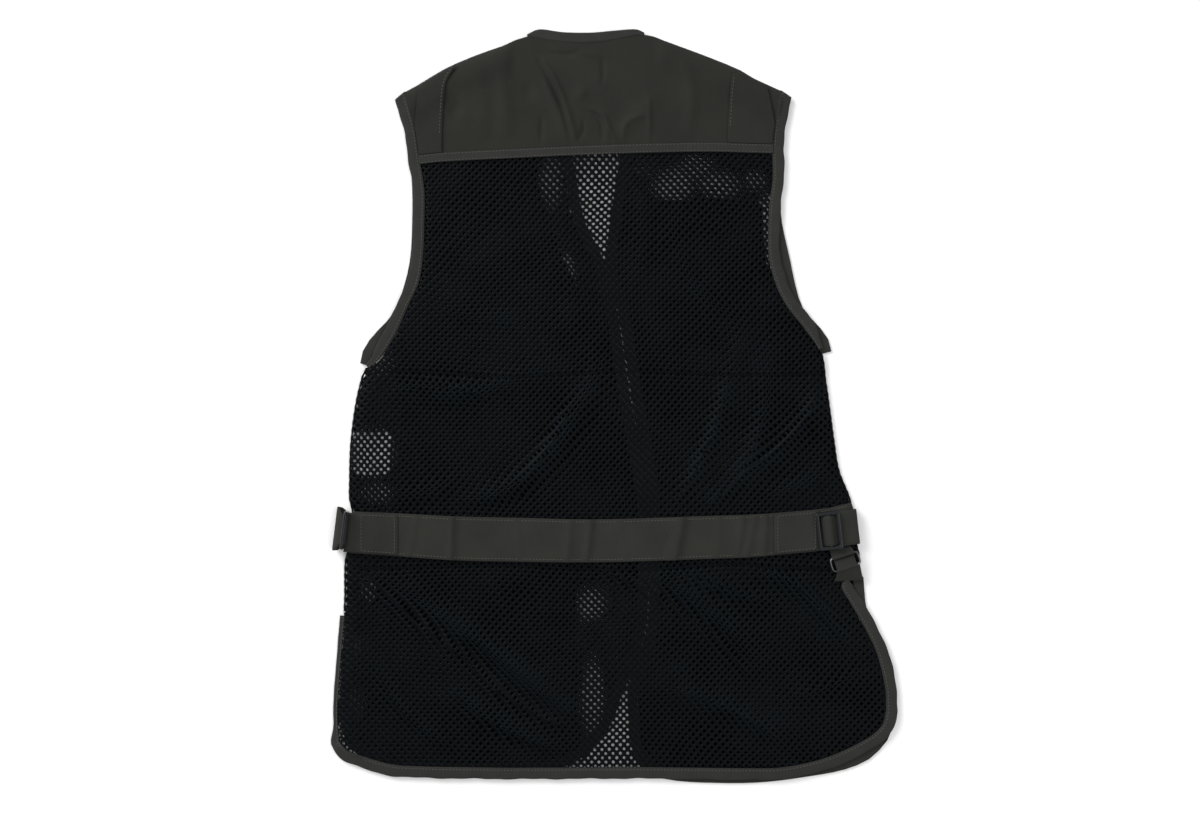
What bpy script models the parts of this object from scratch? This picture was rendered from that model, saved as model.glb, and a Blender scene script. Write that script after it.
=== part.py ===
# Shooting vest of black open mesh and dark olive cloth, laid flat on its front.
# The back is on top, +Y points to the neck, +X to the wearer's right, and the floor is at z = 0.
# Sizes and tables are in millimetres, and MM turns them into metres.

import math

import bmesh
import bpy
from mathutils import Vector

MM = 0.001

# Walls of the cloth, and the gap between two pieces at a seam
MESH_WALL = 1.5
FRONT_WALL = 1.4
BINDING_WALL = 2.2
FRONT_BINDING_WALL = 2.0
BELT_WALL = 2.0
TAB_WALL = 1.5
STRAP_WALL = 1.4
TAPE_WALL = 1.2
PATCH_WALL = 1.0
SEAM_GAP = 0.3

# How the back lies over the fronts and rounds down at the side and shoulder folds
BACK_REST = 3.2
FOLD_FOOT = 0.4
FOLD_RADIUS = 8.0
SIDE_SWELL = 2.5
SWELL_PLACE = 14.0
SWELL_REACH = 12.0
# Where the sides and the shoulders turn down to their folds: y, or x from the neck's middle
LEFT_TURN_FROM = (40.0, 18.0)
RIGHT_TURN_FROM = (46.0, 26.0)
RIGHT_TURN_TO = (-140.0, -166.0)
SHOULDER_FROM_Y = 200.0
NECK_MIDDLE = -29.0
NECK_HALF = 64.0
SHOULDER_TURN = (4.0, 16.0)
SHOULDER_SLOPE = 0.9
# y where the belt presses the folds flat, and where the yoke seam does
BELT_PRESS = (-172.0, -156.0, -106.0, -90.0)
SEAM_PRESS = (236.0, 248.0, 264.0, 276.0)
FOLD_END_SHARE = 0.35
FRONT_INSET = 1.6
NEAR_REACH = 4.0

# Widths of the bindings and of the tape over the yoke seam
BINDING_WIDTH = 10.0
TURNED_BINDING_WIDTH = 3.0
TAPE_WIDTH = 9.0
BINDING_DROP = 0.35

# Slide buckles: edges of the bars along and across the strap, thickness, corners and edges
BUCKLE_COLUMNS = (-12.0, -8.4, -1.5, 1.5, 8.4, 12.0)
BUCKLE_ROWS = (-19.0, -15.4, 15.4, 19.0)
BUCKLE_THICKNESS = 3.0
BUCKLE_CORNER = 3.0
BUCKLE_CORNER_PARTS = 3
BUCKLE_EDGE = 0.7
RIGHT_BUCKLE = (214.75, -123.75)
RIGHT_TURN = math.radians(6.5)
RIGHT_TILT = math.radians(5.0)
RIGHT_CLEARANCE = 3.65
LEFT_BUCKLE = (-267.5, -123.0)
LEFT_BUCKLE_LEVEL = 12.4
LEFT_TURN = math.radians(-7.0)

# Ring of round wire below the right buckle
RING_LENGTH = 31.0
RING_HEIGHT = 16.0
RING_CORNER = 5.0
RING_WIRE = 1.2
RING_SIDES = 8
RING_CORNER_PARTS = 4
RING_CENTRE = (231.0, -154.5)
RING_TURN = math.radians(18.0)

# Columns x, y: the back's edges from the yoke seam down to the hem
SIDE_LEFT = (
    (-194.5, 246.0), (-190.0, 216.0), (-190.0, 186.0), (-191.0, 156.0), (-195.0, 126.0),
    (-207.0, 99.0), (-219.0, 72.0), (-234.0, 49.0), (-248.0, 36.0), (-254.0, 20.0), (-259.0, -5.0),
    (-263.0, -40.0), (-264.0, -75.0), (-264.0, -92.0), (-261.5, -104.0), (-261.5, -122.0),
    (-264.0, -140.0), (-268.5, -156.0), (-269.0, -195.0), (-272.0, -232.0), (-275.0, -270.0),
    (-277.0, -305.0), (-275.5, -334.5),
)
SIDE_RIGHT = (
    (160.0, 257.0), (160.5, 228.0), (157.0, 198.0), (156.0, 156.0), (162.0, 127.0), (173.0, 103.0),
    (193.0, 77.0), (208.0, 54.0), (213.0, 24.0), (217.0, -4.0), (221.0, -34.0), (226.0, -64.0),
    (238.0, -96.0), (243.0, -134.0), (246.0, -150.0), (241.0, -166.0), (229.0, -178.0),
    (237.0, -194.0), (251.0, -218.0), (264.0, -245.0), (272.5, -279.0), (273.8, -303.5),
)
# Columns x, y: the mesh's lower edge and the seam between yoke and mesh, left to right
HEM_LINE = (
    (-275.5, -334.5), (-267.0, -343.5), (-256.0, -348.5), (-227.0, -357.5), (-198.0, -360.5),
    (-103.0, -362.0), (27.0, -361.5), (129.0, -362.5), (170.0, -361.5), (211.0, -352.5),
    (251.0, -334.5), (269.0, -319.5), (273.8, -303.5),
)
YOKE_SEAM = (
    (-194.5, 246.0), (-171.0, 248.5), (-114.0, 251.5), (-14.0, 256.0), (86.0, 258.5), (160.0, 257.0),
)
# Columns x, y: the yoke's upper edge, over the left shoulder, the neck and the right shoulder
YOKE_TOP = (
    (-209.5, 313.5), (-194.0, 322.0), (-171.0, 336.0), (-152.0, 345.0), (-129.0, 354.0), (-114.0, 359.0),
    (-96.0, 366.5), (-85.0, 370.5), (-68.0, 367.6), (-45.0, 364.7), (-16.0, 364.7), (12.0, 369.7),
    (26.0, 372.3), (40.0, 369.5), (66.0, 360.0), (80.0, 355.0), (123.0, 338.0), (134.0, 331.0),
    (152.0, 322.5), (168.5, 315.0),
)
YOKE_LEFT = ((-209.5, 313.5), (-199.5, 278.0), (-194.5, 246.0))
YOKE_RIGHT = ((168.5, 315.0), (162.5, 282.0), (160.0, 257.0))
# Columns x, y: free edge of the back neck binding
NECK_EDGE = (
    (-86.0, 371.5), (-73.0, 376.5), (-50.0, 373.6), (-22.0, 373.2), (1.0, 375.2), (22.0, 376.5),
    (31.0, 373.2),
)
# Columns x, y: inner edges of the shoulder patches, from the shoulder down
PATCH_EDGE_LEFT = ((-157.0, 340.0), (-167.0, 322.0), (-170.0, 295.0), (-171.0, 270.0))
PATCH_EDGE_RIGHT = ((118.0, 331.0), (116.0, 310.0), (115.0, 292.0), (114.0, 277.0))

# Columns x, y: free edges of the fronts at the V neck, and the fronts' meeting line with its gap
NECK_V_LEFT = ((-83.0, 370.0), (-69.0, 326.0), (-54.0, 281.0), (-41.0, 249.0), (-31.0, 191.0), (-18.0, 163.0))
NECK_V_RIGHT = ((25.0, 370.0), (20.0, 326.0), (14.0, 281.0), (7.0, 249.0), (0.0, 206.0), (-5.0, 168.0))
CENTRE_LINE = (
    (-9.0, 146.0, 2.0), (-2.0, 116.0, 0.9), (6.0, 86.0, 2.0), (18.0, 6.0, 2.6), (34.0, -84.0, 2.0),
    (36.0, -154.0, 0.8), (34.0, -214.0, 2.6), (24.0, -254.0, 1.2), (12.0, -284.0, 4.0),
)
# Columns x, y: the fronts' hems from the centre round to the tops of the side vents
FRONT_HEM_LEFT = (
    (1.0, -311.0), (-10.0, -330.0), (-24.0, -345.0), (-39.0, -356.0), (-64.0, -364.0), (-114.0, -368.0),
    (-174.0, -368.0), (-224.0, -362.0), (-252.0, -350.5), (-269.0, -331.0), (-273.5, -306.0),
    (-271.5, -264.0), (-266.0, -194.0),
)
FRONT_HEM_RIGHT = (
    (15.5, -311.0), (16.5, -329.0), (19.0, -345.0), (27.0, -359.0), (41.0, -369.0), (66.0, -374.5),
    (116.0, -376.5), (156.0, -375.0), (200.0, -369.0), (231.0, -363.0), (255.0, -353.0), (268.0, -341.0),
    (277.0, -328.0), (281.0, -308.0), (279.0, -283.0), (273.0, -254.0), (263.0, -228.0), (253.0, -202.0),
    (250.0, -170.0),
)
# Columns x, y: free edges of the fronts at the armholes, from the shoulders down
FRONT_ARMHOLE_LEFT = (
    (-211.0, 297.0), (-206.0, 276.0), (-203.0, 246.0), (-201.0, 216.0), (-201.0, 181.0), (-203.0, 148.0),
    (-209.0, 121.0), (-220.0, 93.0), (-241.0, 70.0), (-251.0, 54.0), (-253.0, 43.0),
)
FRONT_ARMHOLE_RIGHT = (
    (173.0, 299.0), (170.0, 276.0), (169.0, 246.0), (167.0, 206.0), (169.0, 181.0), (176.0, 150.0),
    (182.0, 121.0), (190.0, 97.0), (204.0, 82.0), (215.0, 67.0), (218.0, 55.0),
)
# Columns x, y: seams inside the fronts, between cloth and mesh
NECK_SEAM_LEFT = (
    (-109.0, 372.0), (-92.0, 316.0), (-78.0, 266.0), (-73.0, 206.0), (-58.0, 166.0), (-32.0, 112.0),
    (-8.0, 86.0),
)
SIDE_SEAM_LEFT = (
    (-222.0, 100.0), (-214.0, 60.0), (-214.0, 0.0), (-214.0, -98.0), (-234.0, -160.0), (-243.0, -233.0),
    (-246.0, -313.0), (-244.0, -345.0),
)
HEM_SEAM_LEFT = ((-37.0, -150.0), (-37.0, -250.0), (-35.0, -362.0))
HEM_SEAM_TOP = ((30.0, -172.0), (-45.0, -172.0))
CHEST_SEAM_RIGHT = (
    (0.0, 206.5), (60.0, 206.5), (135.0, 206.5), (147.0, 203.0), (150.0, 190.0), (151.0, 160.0),
    (156.0, 135.0), (172.0, 112.0),
)
# Short straight edges where the bindings of the fronts end, in x, y
UNDERARM_LEFT = ((-258.0, 40.0), (-225.0, 40.0))
VENT_TOP_LEFT = ((-245.0, -192.5), (-275.0, -192.5))
VENT_TOP_RIGHT = ((256.0, -168.5), (235.0, -168.5))

# Columns top x, top y, bottom x, bottom y: the belt's edges, left to right
BELT_EDGES = (
    (-260.5, -104.5, -263.0, -146.0), (-215.0, -106.5, -215.0, -149.5), (-160.0, -109.5, -160.0, -153.5),
    (-95.0, -111.0, -95.0, -155.0), (-14.0, -112.5, -14.0, -155.5), (86.0, -109.5, 86.0, -152.5),
    (142.0, -107.5, 142.0, -150.0), (204.0, -102.5, 206.0, -144.0), (225.0, -98.5, 228.0, -140.0),
    (237.5, -95.5, 242.0, -136.5),
)
# Columns x, height, half width: soft creases across the belt
BELT_CREASES = (
    (-160.0, 0.7, 6.0), (-44.0, 1.0, 7.0), (-24.0, 0.7, 6.0), (61.0, 1.2, 8.0), (128.0, 1.0, 7.0),
    (150.0, 0.7, 5.0),
)
BELT_MARGIN = 0.2
# Columns of the stitched tabs on the belt, and how the left one bends up to its buckle
TAB_INSET = 1.2
TAB_LEFT_COLUMNS = (-215.0, -225.0, -235.0, -245.0, -255.0)
TAB_LEFT_ENDS = (0.35, 0.7, 1.0)
TAB_LEFT_REACH = 1.9
TAB_LEFT_LEVEL = 11.2
TAB_RIGHT_COLUMNS = (160.0, 169.0, 178.0, 187.0, 196.0, 205.0)
# Columns x, z, upper half width, lower half width from the middle of each buckle: the straps.
# On the right the first rows thread the buckle and the next lie on the belt.
STRAP_RIGHT_THREAD = (
    (-6.5, -2.6, 14.9, 14.9), (-4.2, -1.0, 14.9, 14.9), (-2.4, 2.1, 14.9, 14.9), (0.0, 2.8, 14.9, 14.9),
    (2.4, 2.1, 14.9, 14.9), (4.5, -0.8, 14.9, 14.9), (7.0, -2.5, 14.9, 14.9), (10.2, -2.6, 14.9, 14.9),
)
STRAP_RIGHT_COLUMNS = (14.0, 18.0, 22.0, 25.5)
STRAP_RIGHT_DROP = ((27.9, 0.5), (28.9, 2.4))
STRAP_RIGHT_FOOT = 1.3
STRAP_RIGHT_HALVES = (18.5, 16.5)
STRAP_LEFT_ROWS = (
    (1.9, 14.9, 14.9, 14.9), (0.0, 15.4, 14.9, 14.9), (-2.4, 15.2, 14.9, 14.9), (-4.4, 14.2, 17.0, 17.0),
    (-6.7, 12.3, 20.0, 20.0), (-8.8, 9.8, 21.5, 21.5), (-9.8, 6.8, 22.0, 22.0), (-8.8, 3.6, 22.0, 22.0),
    (-5.5, 1.3, 21.5, 21.5), (-1.9, 1.1, 19.0, 19.0),
)
# Columns left down, left across, right down, right across, lift: rows of the cloth at the ring,
# measured from the ring's middle
RING_LOOP_ROWS = (
    (-15.8, -11.5, -13.3, 10.0, -1.2), (-9.6, -11.5, -9.6, 11.0, 0.2), (-6.8, -11.5, -6.8, 11.5, 1.8),
    (-4.6, -11.0, -4.6, 11.0, 0.8),
)
VENT_TAB_ROWS = (
    (-4.0, -10.5, -4.0, 10.5, -1.0), (4.0, -10.5, 4.0, 10.5, 0.4), (6.8, -11.0, 6.8, 11.0, 1.8),
    (9.5, -12.0, 9.5, 12.0, 0.2), (15.8, -16.2, 23.3, 11.9, -3.0),
)

# Columns start x, y, middle x, y, end x, y, half width, height: folds of the back,
# where a negative height is a trough
BACK_FOLDS = (
    (-250.0, -163.0, -144.0, -251.0, -50.0, -318.0, 9.0, -0.8),
    (-238.0, -168.0, -130.0, -238.0, -48.0, -302.0, 11.0, 3.6),
    (-152.0, -290.0, -112.0, -314.0, -62.0, -338.0, 9.0, 2.6),
    (-16.0, -160.0, 60.0, -198.0, 131.0, -266.0, 9.0, -0.8),
    (-2.0, -160.0, 74.0, -190.0, 142.0, -252.0, 11.0, 3.4),
    (44.0, -158.0, 101.0, -179.0, 150.0, -196.0, 9.0, 2.4),
    (131.0, -156.0, 187.0, -183.0, 228.0, -232.0, 11.0, 2.8),
    (63.0, -284.0, 119.0, -303.0, 157.0, -326.0, 12.0, 2.8),
    (-151.0, -97.0, -70.0, -55.0, -14.0, 46.0, 10.0, 3.4),
    (-138.0, -100.0, -58.0, -66.0, -2.0, 30.0, 8.0, -0.8),
    (-214.0, 18.0, -145.0, 14.0, -77.0, 38.0, 11.0, 2.8),
    (67.0, -90.0, 98.0, -30.0, 130.0, 74.0, 9.0, 3.2),
    (95.0, -97.0, 142.0, -35.0, 154.0, 57.0, 9.0, 2.8),
    (137.0, -72.0, 182.0, -28.0, 204.0, 20.0, 10.0, 3.0),
    (154.0, -90.0, 180.0, -80.0, 205.0, -66.0, 8.0, 1.8),
    (-212.0, -90.0, -186.0, -86.0, -161.0, -76.0, 9.0, 2.0),
    (-69.0, 336.0, -54.0, 296.0, -42.0, 258.0, 8.0, 1.8),
    (-9.0, 301.0, -6.0, 283.0, -2.0, 258.0, 7.0, 1.4),
    (46.0, 311.0, 14.0, 280.0, 4.0, 258.0, 7.0, 1.6),
    (-134.0, 330.0, -130.0, 294.0, -132.0, 262.0, 8.0, 1.4),
    (36.0, 348.0, 34.0, 300.0, 40.0, 262.0, 10.0, 1.3),
)
FOLD_PARTS = 10
BELT_DAMPING = 0.75
SEAM_DAMPING = 0.6

# Grid shares of the back panel, the yoke and the belt
CURVE_PARTS = 4
EDGE_SHARES = (0.0, 0.0045, 0.0135, 0.028)
MESH_COLUMNS = 30
MESH_ROWS = 39
YOKE_TOP_SHARES = (0.0, 0.02, 0.055, 0.11)
YOKE_COLUMNS = 26
YOKE_ROWS = 6
BELT_COLUMNS = 38
BELT_ROWS = 3
EDGE_SPACING = 13.0
STRETCH = 30.0
TINY = 1e-6
RIM_ANGLE = math.radians(50.0)
PATCH_SHARES = (0.0, 0.25, 0.5, 0.75, 1.0)
PATCH_INSET = 1.5
PATCH_TOP_INSET = 8.0
PATCH_MARGIN = 0.3
NECK_LEAST = 1.2
NECK_SEAM_REACH = 5
ARM_FIRST_ROW = 2
RING_CLOTH_PARTS = 2
RING_CLOTH_WALL = 1.2

# Where the back's bindings start and end, in y, and how the hem's widens at the left corner
ARM_END_LEFT = 38.0
ARM_END_RIGHT = 56.0
ARM_TAPER = ((-1, 0.35), (-2, 0.75))
HEM_START_LEFT = -205.0
HEM_START_RIGHT = -180.0
HEM_TURN_OUT = (315.0, 350.0)
HEM_TURNED_SIDE = -240.0
# Highest and lowest y of the side folds that the fronts share with the back
SIDE_SPAN_LEFT = (30.0, -190.0)
SIDE_SPAN_RIGHT = (44.0, -150.0)

# Colour, roughness and metallic value of each material
LOOKS = {
    "mesh": ((0.012, 0.014, 0.017), 0.80, 0.0),
    "cloth": ((0.036, 0.037, 0.032), 0.90, 0.0),
    "binding": ((0.042, 0.042, 0.037), 0.85, 0.0),
    "webbing": ((0.036, 0.037, 0.031), 0.85, 0.0),
    "plastic": ((0.030, 0.032, 0.036), 0.35, 0.0),
    "ring_metal": ((0.180, 0.180, 0.170), 0.35, 1.0),
}


def clear_scene():
    for thing in list(bpy.data.objects):
        bpy.data.objects.remove(thing, do_unlink=True)


def material(name):
    """The material of a finish, with one copy for each piece."""
    colour, roughness, metallic = LOOKS[name]
    look = bpy.data.materials.new(name)
    look.use_nodes = True
    shader = look.node_tree.nodes["Principled BSDF"]
    shader.inputs["Base Color"].default_value = (*colour, 1.0)
    shader.inputs["Roughness"].default_value = roughness
    shader.inputs["Metallic"].default_value = metallic
    return look


def ease(value, start, end):
    """Smooth step from 0 at start to 1 at end."""
    share = min(max((value - start) / (end - start), 0.0), 1.0)
    return share * share * (3.0 - 2.0 * share)


def smooth_curve(points):
    """Dense points on a smooth curve through the given ones."""
    knots = [Vector(point[:2]) for point in points]
    knots = [2 * knots[0] - knots[1]] + knots + [2 * knots[-1] - knots[-2]]
    dense = []
    for before, start, end, after in zip(knots, knots[1:], knots[2:], knots[3:]):
        for part in range(CURVE_PARTS):
            t = part / CURVE_PARTS
            square = 2 * before - 5 * start + 4 * end - after
            cube = 3 * start - before - 3 * end + after
            dense.append(0.5 * (2 * start + (end - before) * t + square * t ** 2 + cube * t ** 3))
    dense.append(knots[-2])
    return dense


def lengths(curve):
    """Length along a curve at each of its points."""
    total = [0.0]
    for start, end in zip(curve, curve[1:]):
        total.append(total[-1] + (end - start).length)
    return total


def along(curve, share):
    """Point at a share of a curve's length."""
    total = lengths(curve)
    target = share * total[-1]
    for index in range(len(curve) - 1):
        if target <= total[index + 1] or index == len(curve) - 2:
            span = total[index + 1] - total[index]
            return curve[index].lerp(curve[index + 1], min((target - total[index]) / span, 1.0))


def even_points(curve, spacing):
    """The curve again, with points about spacing apart."""
    count = max(2, round(lengths(curve)[-1] / spacing))
    return [along(curve, index / count) for index in range(count + 1)]


def at_level(curve, y):
    """Point where a curve that runs down reaches y."""
    for start, end in zip(curve, curve[1:]):
        if start.y >= y >= end.y and start.y > end.y:
            return start.lerp(end, (start.y - y) / (start.y - end.y))
    return curve[0] if y > curve[0].y else curve[-1]


def shift(points, distance):
    """A line of points moved by distance to the right of its way."""
    moved = []
    for index, point in enumerate(points):
        before = points[max(index - 1, 0)]
        after = points[min(index + 1, len(points) - 1)]
        incoming = (point - before).normalized() if index else (after - point).normalized()
        outgoing = (after - point).normalized() if index < len(points) - 1 else incoming
        way = (incoming + outgoing).normalized()
        reach = distance / max(way.dot(outgoing), 0.5)
        moved.append(point + Vector((way.y, -way.x)) * reach)
    return moved


BACK_LEFT = smooth_curve(SIDE_LEFT)
BACK_RIGHT = smooth_curve(SIDE_RIGHT)
BACK_TOP = [along(smooth_curve(YOKE_TOP), column / YOKE_COLUMNS) for column in range(YOKE_COLUMNS + 1)]


def quadratic(start, middle, end, t):
    """Point on a curve that passes through the middle point at t = 0.5."""
    control = 2 * middle - (start + end) / 2
    return start * (1 - t) ** 2 + control * 2 * t * (1 - t) + end * t ** 2


def fold_paths():
    paths = []
    for x1, y1, x2, y2, x3, y3, half_width, height in BACK_FOLDS:
        ends = (Vector((x1, y1)), Vector((x2, y2)), Vector((x3, y3)))
        path = [quadratic(*ends, part / FOLD_PARTS) for part in range(FOLD_PARTS + 1)]
        paths.append((path, half_width, height))
    return paths


FOLD_PATHS = fold_paths()


def fold_rise(x, y):
    """Height that the folds add at a place, less under the belt and at the yoke seam."""
    place = Vector((x, y))
    rise = 0.0
    for path, half_width, height in FOLD_PATHS:
        reach = 4 * half_width
        if not (min(p.x for p in path) - reach < x < max(p.x for p in path) + reach):
            continue
        nearest, share = None, 0.0
        for index, (start, end) in enumerate(zip(path, path[1:])):
            span = end - start
            t = min(max((place - start).dot(span) / span.length_squared, 0.0), 1.0)
            distance = (place - start - span * t).length
            if nearest is None or distance < nearest:
                nearest, share = distance, (index + t) / FOLD_PARTS
        taper = FOLD_END_SHARE + (1 - FOLD_END_SHARE) * math.sin(math.pi * share)
        rise += height * taper * math.exp(-((nearest / half_width) ** 2))
    belt = ease(y, *BELT_PRESS[:2]) * (1 - ease(y, *BELT_PRESS[2:]))
    seam = ease(y, *SEAM_PRESS[:2]) * (1 - ease(y, *SEAM_PRESS[2:]))
    return rise * (1 - BELT_DAMPING * belt) * (1 - SEAM_DAMPING * seam)


def fold_edges(x, y):
    """Distance to each rounded edge of the back, with how far the back turns down there."""
    left = x - at_level(BACK_LEFT, y).x
    right = at_level(BACK_RIGHT, y).x - x
    right_turned = ease(y, *RIGHT_TURN_FROM) * (1 - ease(y, *RIGHT_TURN_TO))
    edges = [(left, ease(y, *LEFT_TURN_FROM)), (right, right_turned)]
    if y > SHOULDER_FROM_Y:
        shoulder = abs(x - NECK_MIDDLE) - NECK_HALF
        above = [end for start, end in zip(BACK_TOP, BACK_TOP[1:]) if start.x <= x <= end.x]
        line = above[0].y if above else BACK_TOP[0 if x < 0 else -1].y
        edges = [((line - y) * SHOULDER_SLOPE, ease(shoulder, *SHOULDER_TURN))]
    return edges


def back_height(x, y):
    """Underside of the back panels above the floor."""
    edges = fold_edges(x, y)
    level = BACK_REST + fold_rise(x, y)
    for distance, turned in edges:
        level += turned * SIDE_SWELL * math.exp(-((distance - SWELL_PLACE) / SWELL_REACH) ** 2)
    for distance, turned in edges:
        share = min(max(distance / FOLD_RADIUS, 0.0), 1.0)
        round_level = FOLD_FOOT + (level - FOLD_FOOT) * math.sqrt(1.0 - (1.0 - share) ** 2)
        level += turned * (round_level - level)
    return level


def over_back(x, y):
    """Height just above the back panels near a place."""
    spots = ((x, y), (x - NEAR_REACH, y), (x + NEAR_REACH, y), (x, y - NEAR_REACH), (x, y + NEAR_REACH))
    return max(back_height(*spot) for spot in spots) + MESH_WALL + SEAM_GAP


def patch_grid(top, bottom, left, right, across, down):
    """Rows of points between four edge curves, at shares across and down."""
    grid = []
    for v in down:
        start = at_level(left, left[0].y + (left[-1].y - left[0].y) * v)
        end = at_level(right, right[0].y + (right[-1].y - right[0].y) * v)
        row = []
        for u in across:
            sides = start.lerp(end, u)
            ends = along(top, u).lerp(along(bottom, u), v)
            corners = top[0].lerp(top[-1], u).lerp(bottom[0].lerp(bottom[-1], u), v)
            row.append(sides + ends - corners)
        grid.append(row)
    return grid


def shares(edge_shares, count, both_ends):
    """Shares from 0 to 1 with fine steps at the ends and count even steps between."""
    first = edge_shares[-1]
    last = 1.0 - first if both_ends else 1.0
    middle = [first + (last - first) * index / count for index in range(1, count)]
    tail = [1.0 - share for share in reversed(edge_shares)] if both_ends else [1.0]
    return list(edge_shares) + middle + tail


def finish_piece(name, mesh, finish):
    """Turn a bmesh in millimetres into an object in metres with its own material."""
    bmesh.ops.recalc_face_normals(mesh, faces=mesh.faces)
    bmesh.ops.scale(mesh, vec=(MM, MM, MM), verts=mesh.verts)
    data = bpy.data.meshes.new(name)
    mesh.to_mesh(data)
    mesh.free()
    data.materials.append(material(finish))
    piece = bpy.data.objects.new(name, data)
    bpy.context.scene.collection.objects.link(piece)
    return piece


def close_sheet(mesh, lower, upper):
    """Faces on both sides and round the rim of two grids of vertices."""
    rows, columns = len(lower), len(lower[0])
    for sheet in (lower, upper):
        for i in range(rows - 1):
            for j in range(columns - 1):
                mesh.faces.new((sheet[i][j], sheet[i + 1][j], sheet[i + 1][j + 1], sheet[i][j + 1]))
    rim = [(0, j) for j in range(columns)] + [(i, columns - 1) for i in range(1, rows)]
    rim += [(rows - 1, j) for j in range(columns - 2, -1, -1)] + [(i, 0) for i in range(rows - 2, 0, -1)]
    for (i, j), (k, m) in zip(rim, rim[1:] + rim[:1]):
        mesh.faces.new((lower[i][j], lower[k][m], upper[k][m], upper[i][j]))


def wall_at(name, grid, levels, thickness, finish):
    """Closed sheet over rows of points, with the height of its underside at each point."""
    mesh = bmesh.new()
    sheets = []
    for lift in (0.0, thickness):
        sheet = []
        for row, heights in zip(grid, levels):
            sheet.append([mesh.verts.new((p.x, p.y, z + lift)) for p, z in zip(row, heights)])
        sheets.append(sheet)
    close_sheet(mesh, *sheets)
    return finish_piece(name, mesh, finish)


def wall(name, grid, underside, thickness, finish):
    """Closed sheet over rows of points, its underside at the height underside(x, y)."""
    levels = [[underside(p.x, p.y) for p in row] for row in grid]
    return wall_at(name, grid, levels, thickness, finish)


def slab(name, outline, thickness, finish):
    """Flat panel on the floor with the given outline."""
    mesh = bmesh.new()
    lower = [mesh.verts.new((p.x, p.y, 0.0)) for p in outline]
    upper = [mesh.verts.new((p.x, p.y, thickness)) for p in outline]
    mesh.faces.new(lower)
    mesh.faces.new(upper)
    for index in range(len(outline)):
        before = index - 1
        mesh.faces.new((lower[before], lower[index], upper[index], upper[before]))
    return finish_piece(name, mesh, finish)


def ribbon(name, stations, thickness, finish):
    """Strap with rows of x, z, upper and lower half width along its middle."""
    mesh = bmesh.new()
    lower, upper = [], []
    for index, (x, z, top, bottom) in enumerate(stations):
        before = stations[max(index - 1, 0)]
        after = stations[min(index + 1, len(stations) - 1)]
        way = Vector((after[0] - before[0], after[1] - before[1])).normalized()
        side = Vector((-way.y, way.x)) * thickness / 2
        lower.append([mesh.verts.new((x - side.x, y, z - side.y)) for y in (-bottom, top)])
        upper.append([mesh.verts.new((x + side.x, y, z + side.y)) for y in (-bottom, top)])
    close_sheet(mesh, lower, upper)
    return finish_piece(name, mesh, finish)


def stretched(curve):
    """The curve with a straight run added at both ends."""
    head = curve[0] + (curve[0] - curve[1]).normalized() * STRETCH
    tail = curve[-1] + (curve[-1] - curve[-2]).normalized() * STRETCH
    return [head] + list(curve) + [tail]


def crossing(first, second):
    """Where two curves cross, nearest to the end of the first and the start of the second."""
    found = []
    for i, (a, b) in enumerate(zip(first, first[1:])):
        for j, (c, d) in enumerate(zip(second, second[1:])):
            run, other = b - a, d - c
            size = run.x * other.y - run.y * other.x
            if abs(size) < TINY:
                continue
            t = ((c.x - a.x) * other.y - (c.y - a.y) * other.x) / size
            s = ((c.x - a.x) * run.y - (c.y - a.y) * run.x) / size
            if 0.0 <= t <= 1.0 and 0.0 <= s <= 1.0:
                found.append((len(first) - i + j, i, j, a + run * t))
    return min(found, key=lambda item: item[0])[1:]


def joined_outline(curves):
    """Closed outline of curves given in order, each cut where it crosses the next."""
    curves = [stretched(curve) for curve in curves]
    for index in range(len(curves)):
        after = (index + 1) % len(curves)
        i, j, place = crossing(curves[index], curves[after])
        curves[index] = curves[index][: i + 1] + [place]
        curves[after] = [place] + curves[after][j + 1:]
    outline = []
    for curve in curves:
        outline.extend(curve[:-1])
    return outline


def strip_grid(inner, outer, parts=2):
    """Rows of points across a binding, from its inner to its outer edge."""
    return [[a.lerp(b, part / parts) for part in range(parts + 1)] for a, b in zip(inner, outer)]


def halved(points):
    """The same line of points with one more in the middle of each step."""
    finer = [points[0]]
    for start, end in zip(points, points[1:]):
        finer += [start.lerp(end, 0.5), end]
    return finer


def height_at(curve, x):
    """y where a curve that runs to the right reaches x."""
    for start, end in zip(curve, curve[1:]):
        if start.x <= x <= end.x:
            return start.lerp(end, (x - start.x) / (end.x - start.x)).y
    return curve[0].y if x < curve[0].x else curve[-1].y


def turned(centre, angle, x, y):
    """Place on the floor plan of a point given from a turned centre."""
    reach = Vector((x * math.cos(angle) - y * math.sin(angle), x * math.sin(angle) + y * math.cos(angle)))
    return Vector(centre) + reach


def put(piece, centre, level, turn, tilt=0.0):
    """Place a piece at a height, turned about the vertical and tilted about its own y axis."""
    piece.location = (centre[0] * MM, centre[1] * MM, level * MM)
    piece.rotation_euler = (0.0, tilt, turn)


def make_back():
    """Mesh panel of the back, returned with its grid so that the bindings share its edges."""
    across = shares(EDGE_SHARES, MESH_COLUMNS, True)
    down = [row / MESH_ROWS for row in range(MESH_ROWS + 1)]
    seam = shift(smooth_curve(YOKE_SEAM), SEAM_GAP / 2)
    left = [seam[0]] + [p for p in BACK_LEFT if p.y < seam[0].y]
    right = [seam[-1]] + [p for p in BACK_RIGHT if p.y < seam[-1].y]
    grid = patch_grid(seam, smooth_curve(HEM_LINE), left, right, across, down)
    wall("back_mesh", grid, back_height, MESH_WALL, "mesh")
    return grid


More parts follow.
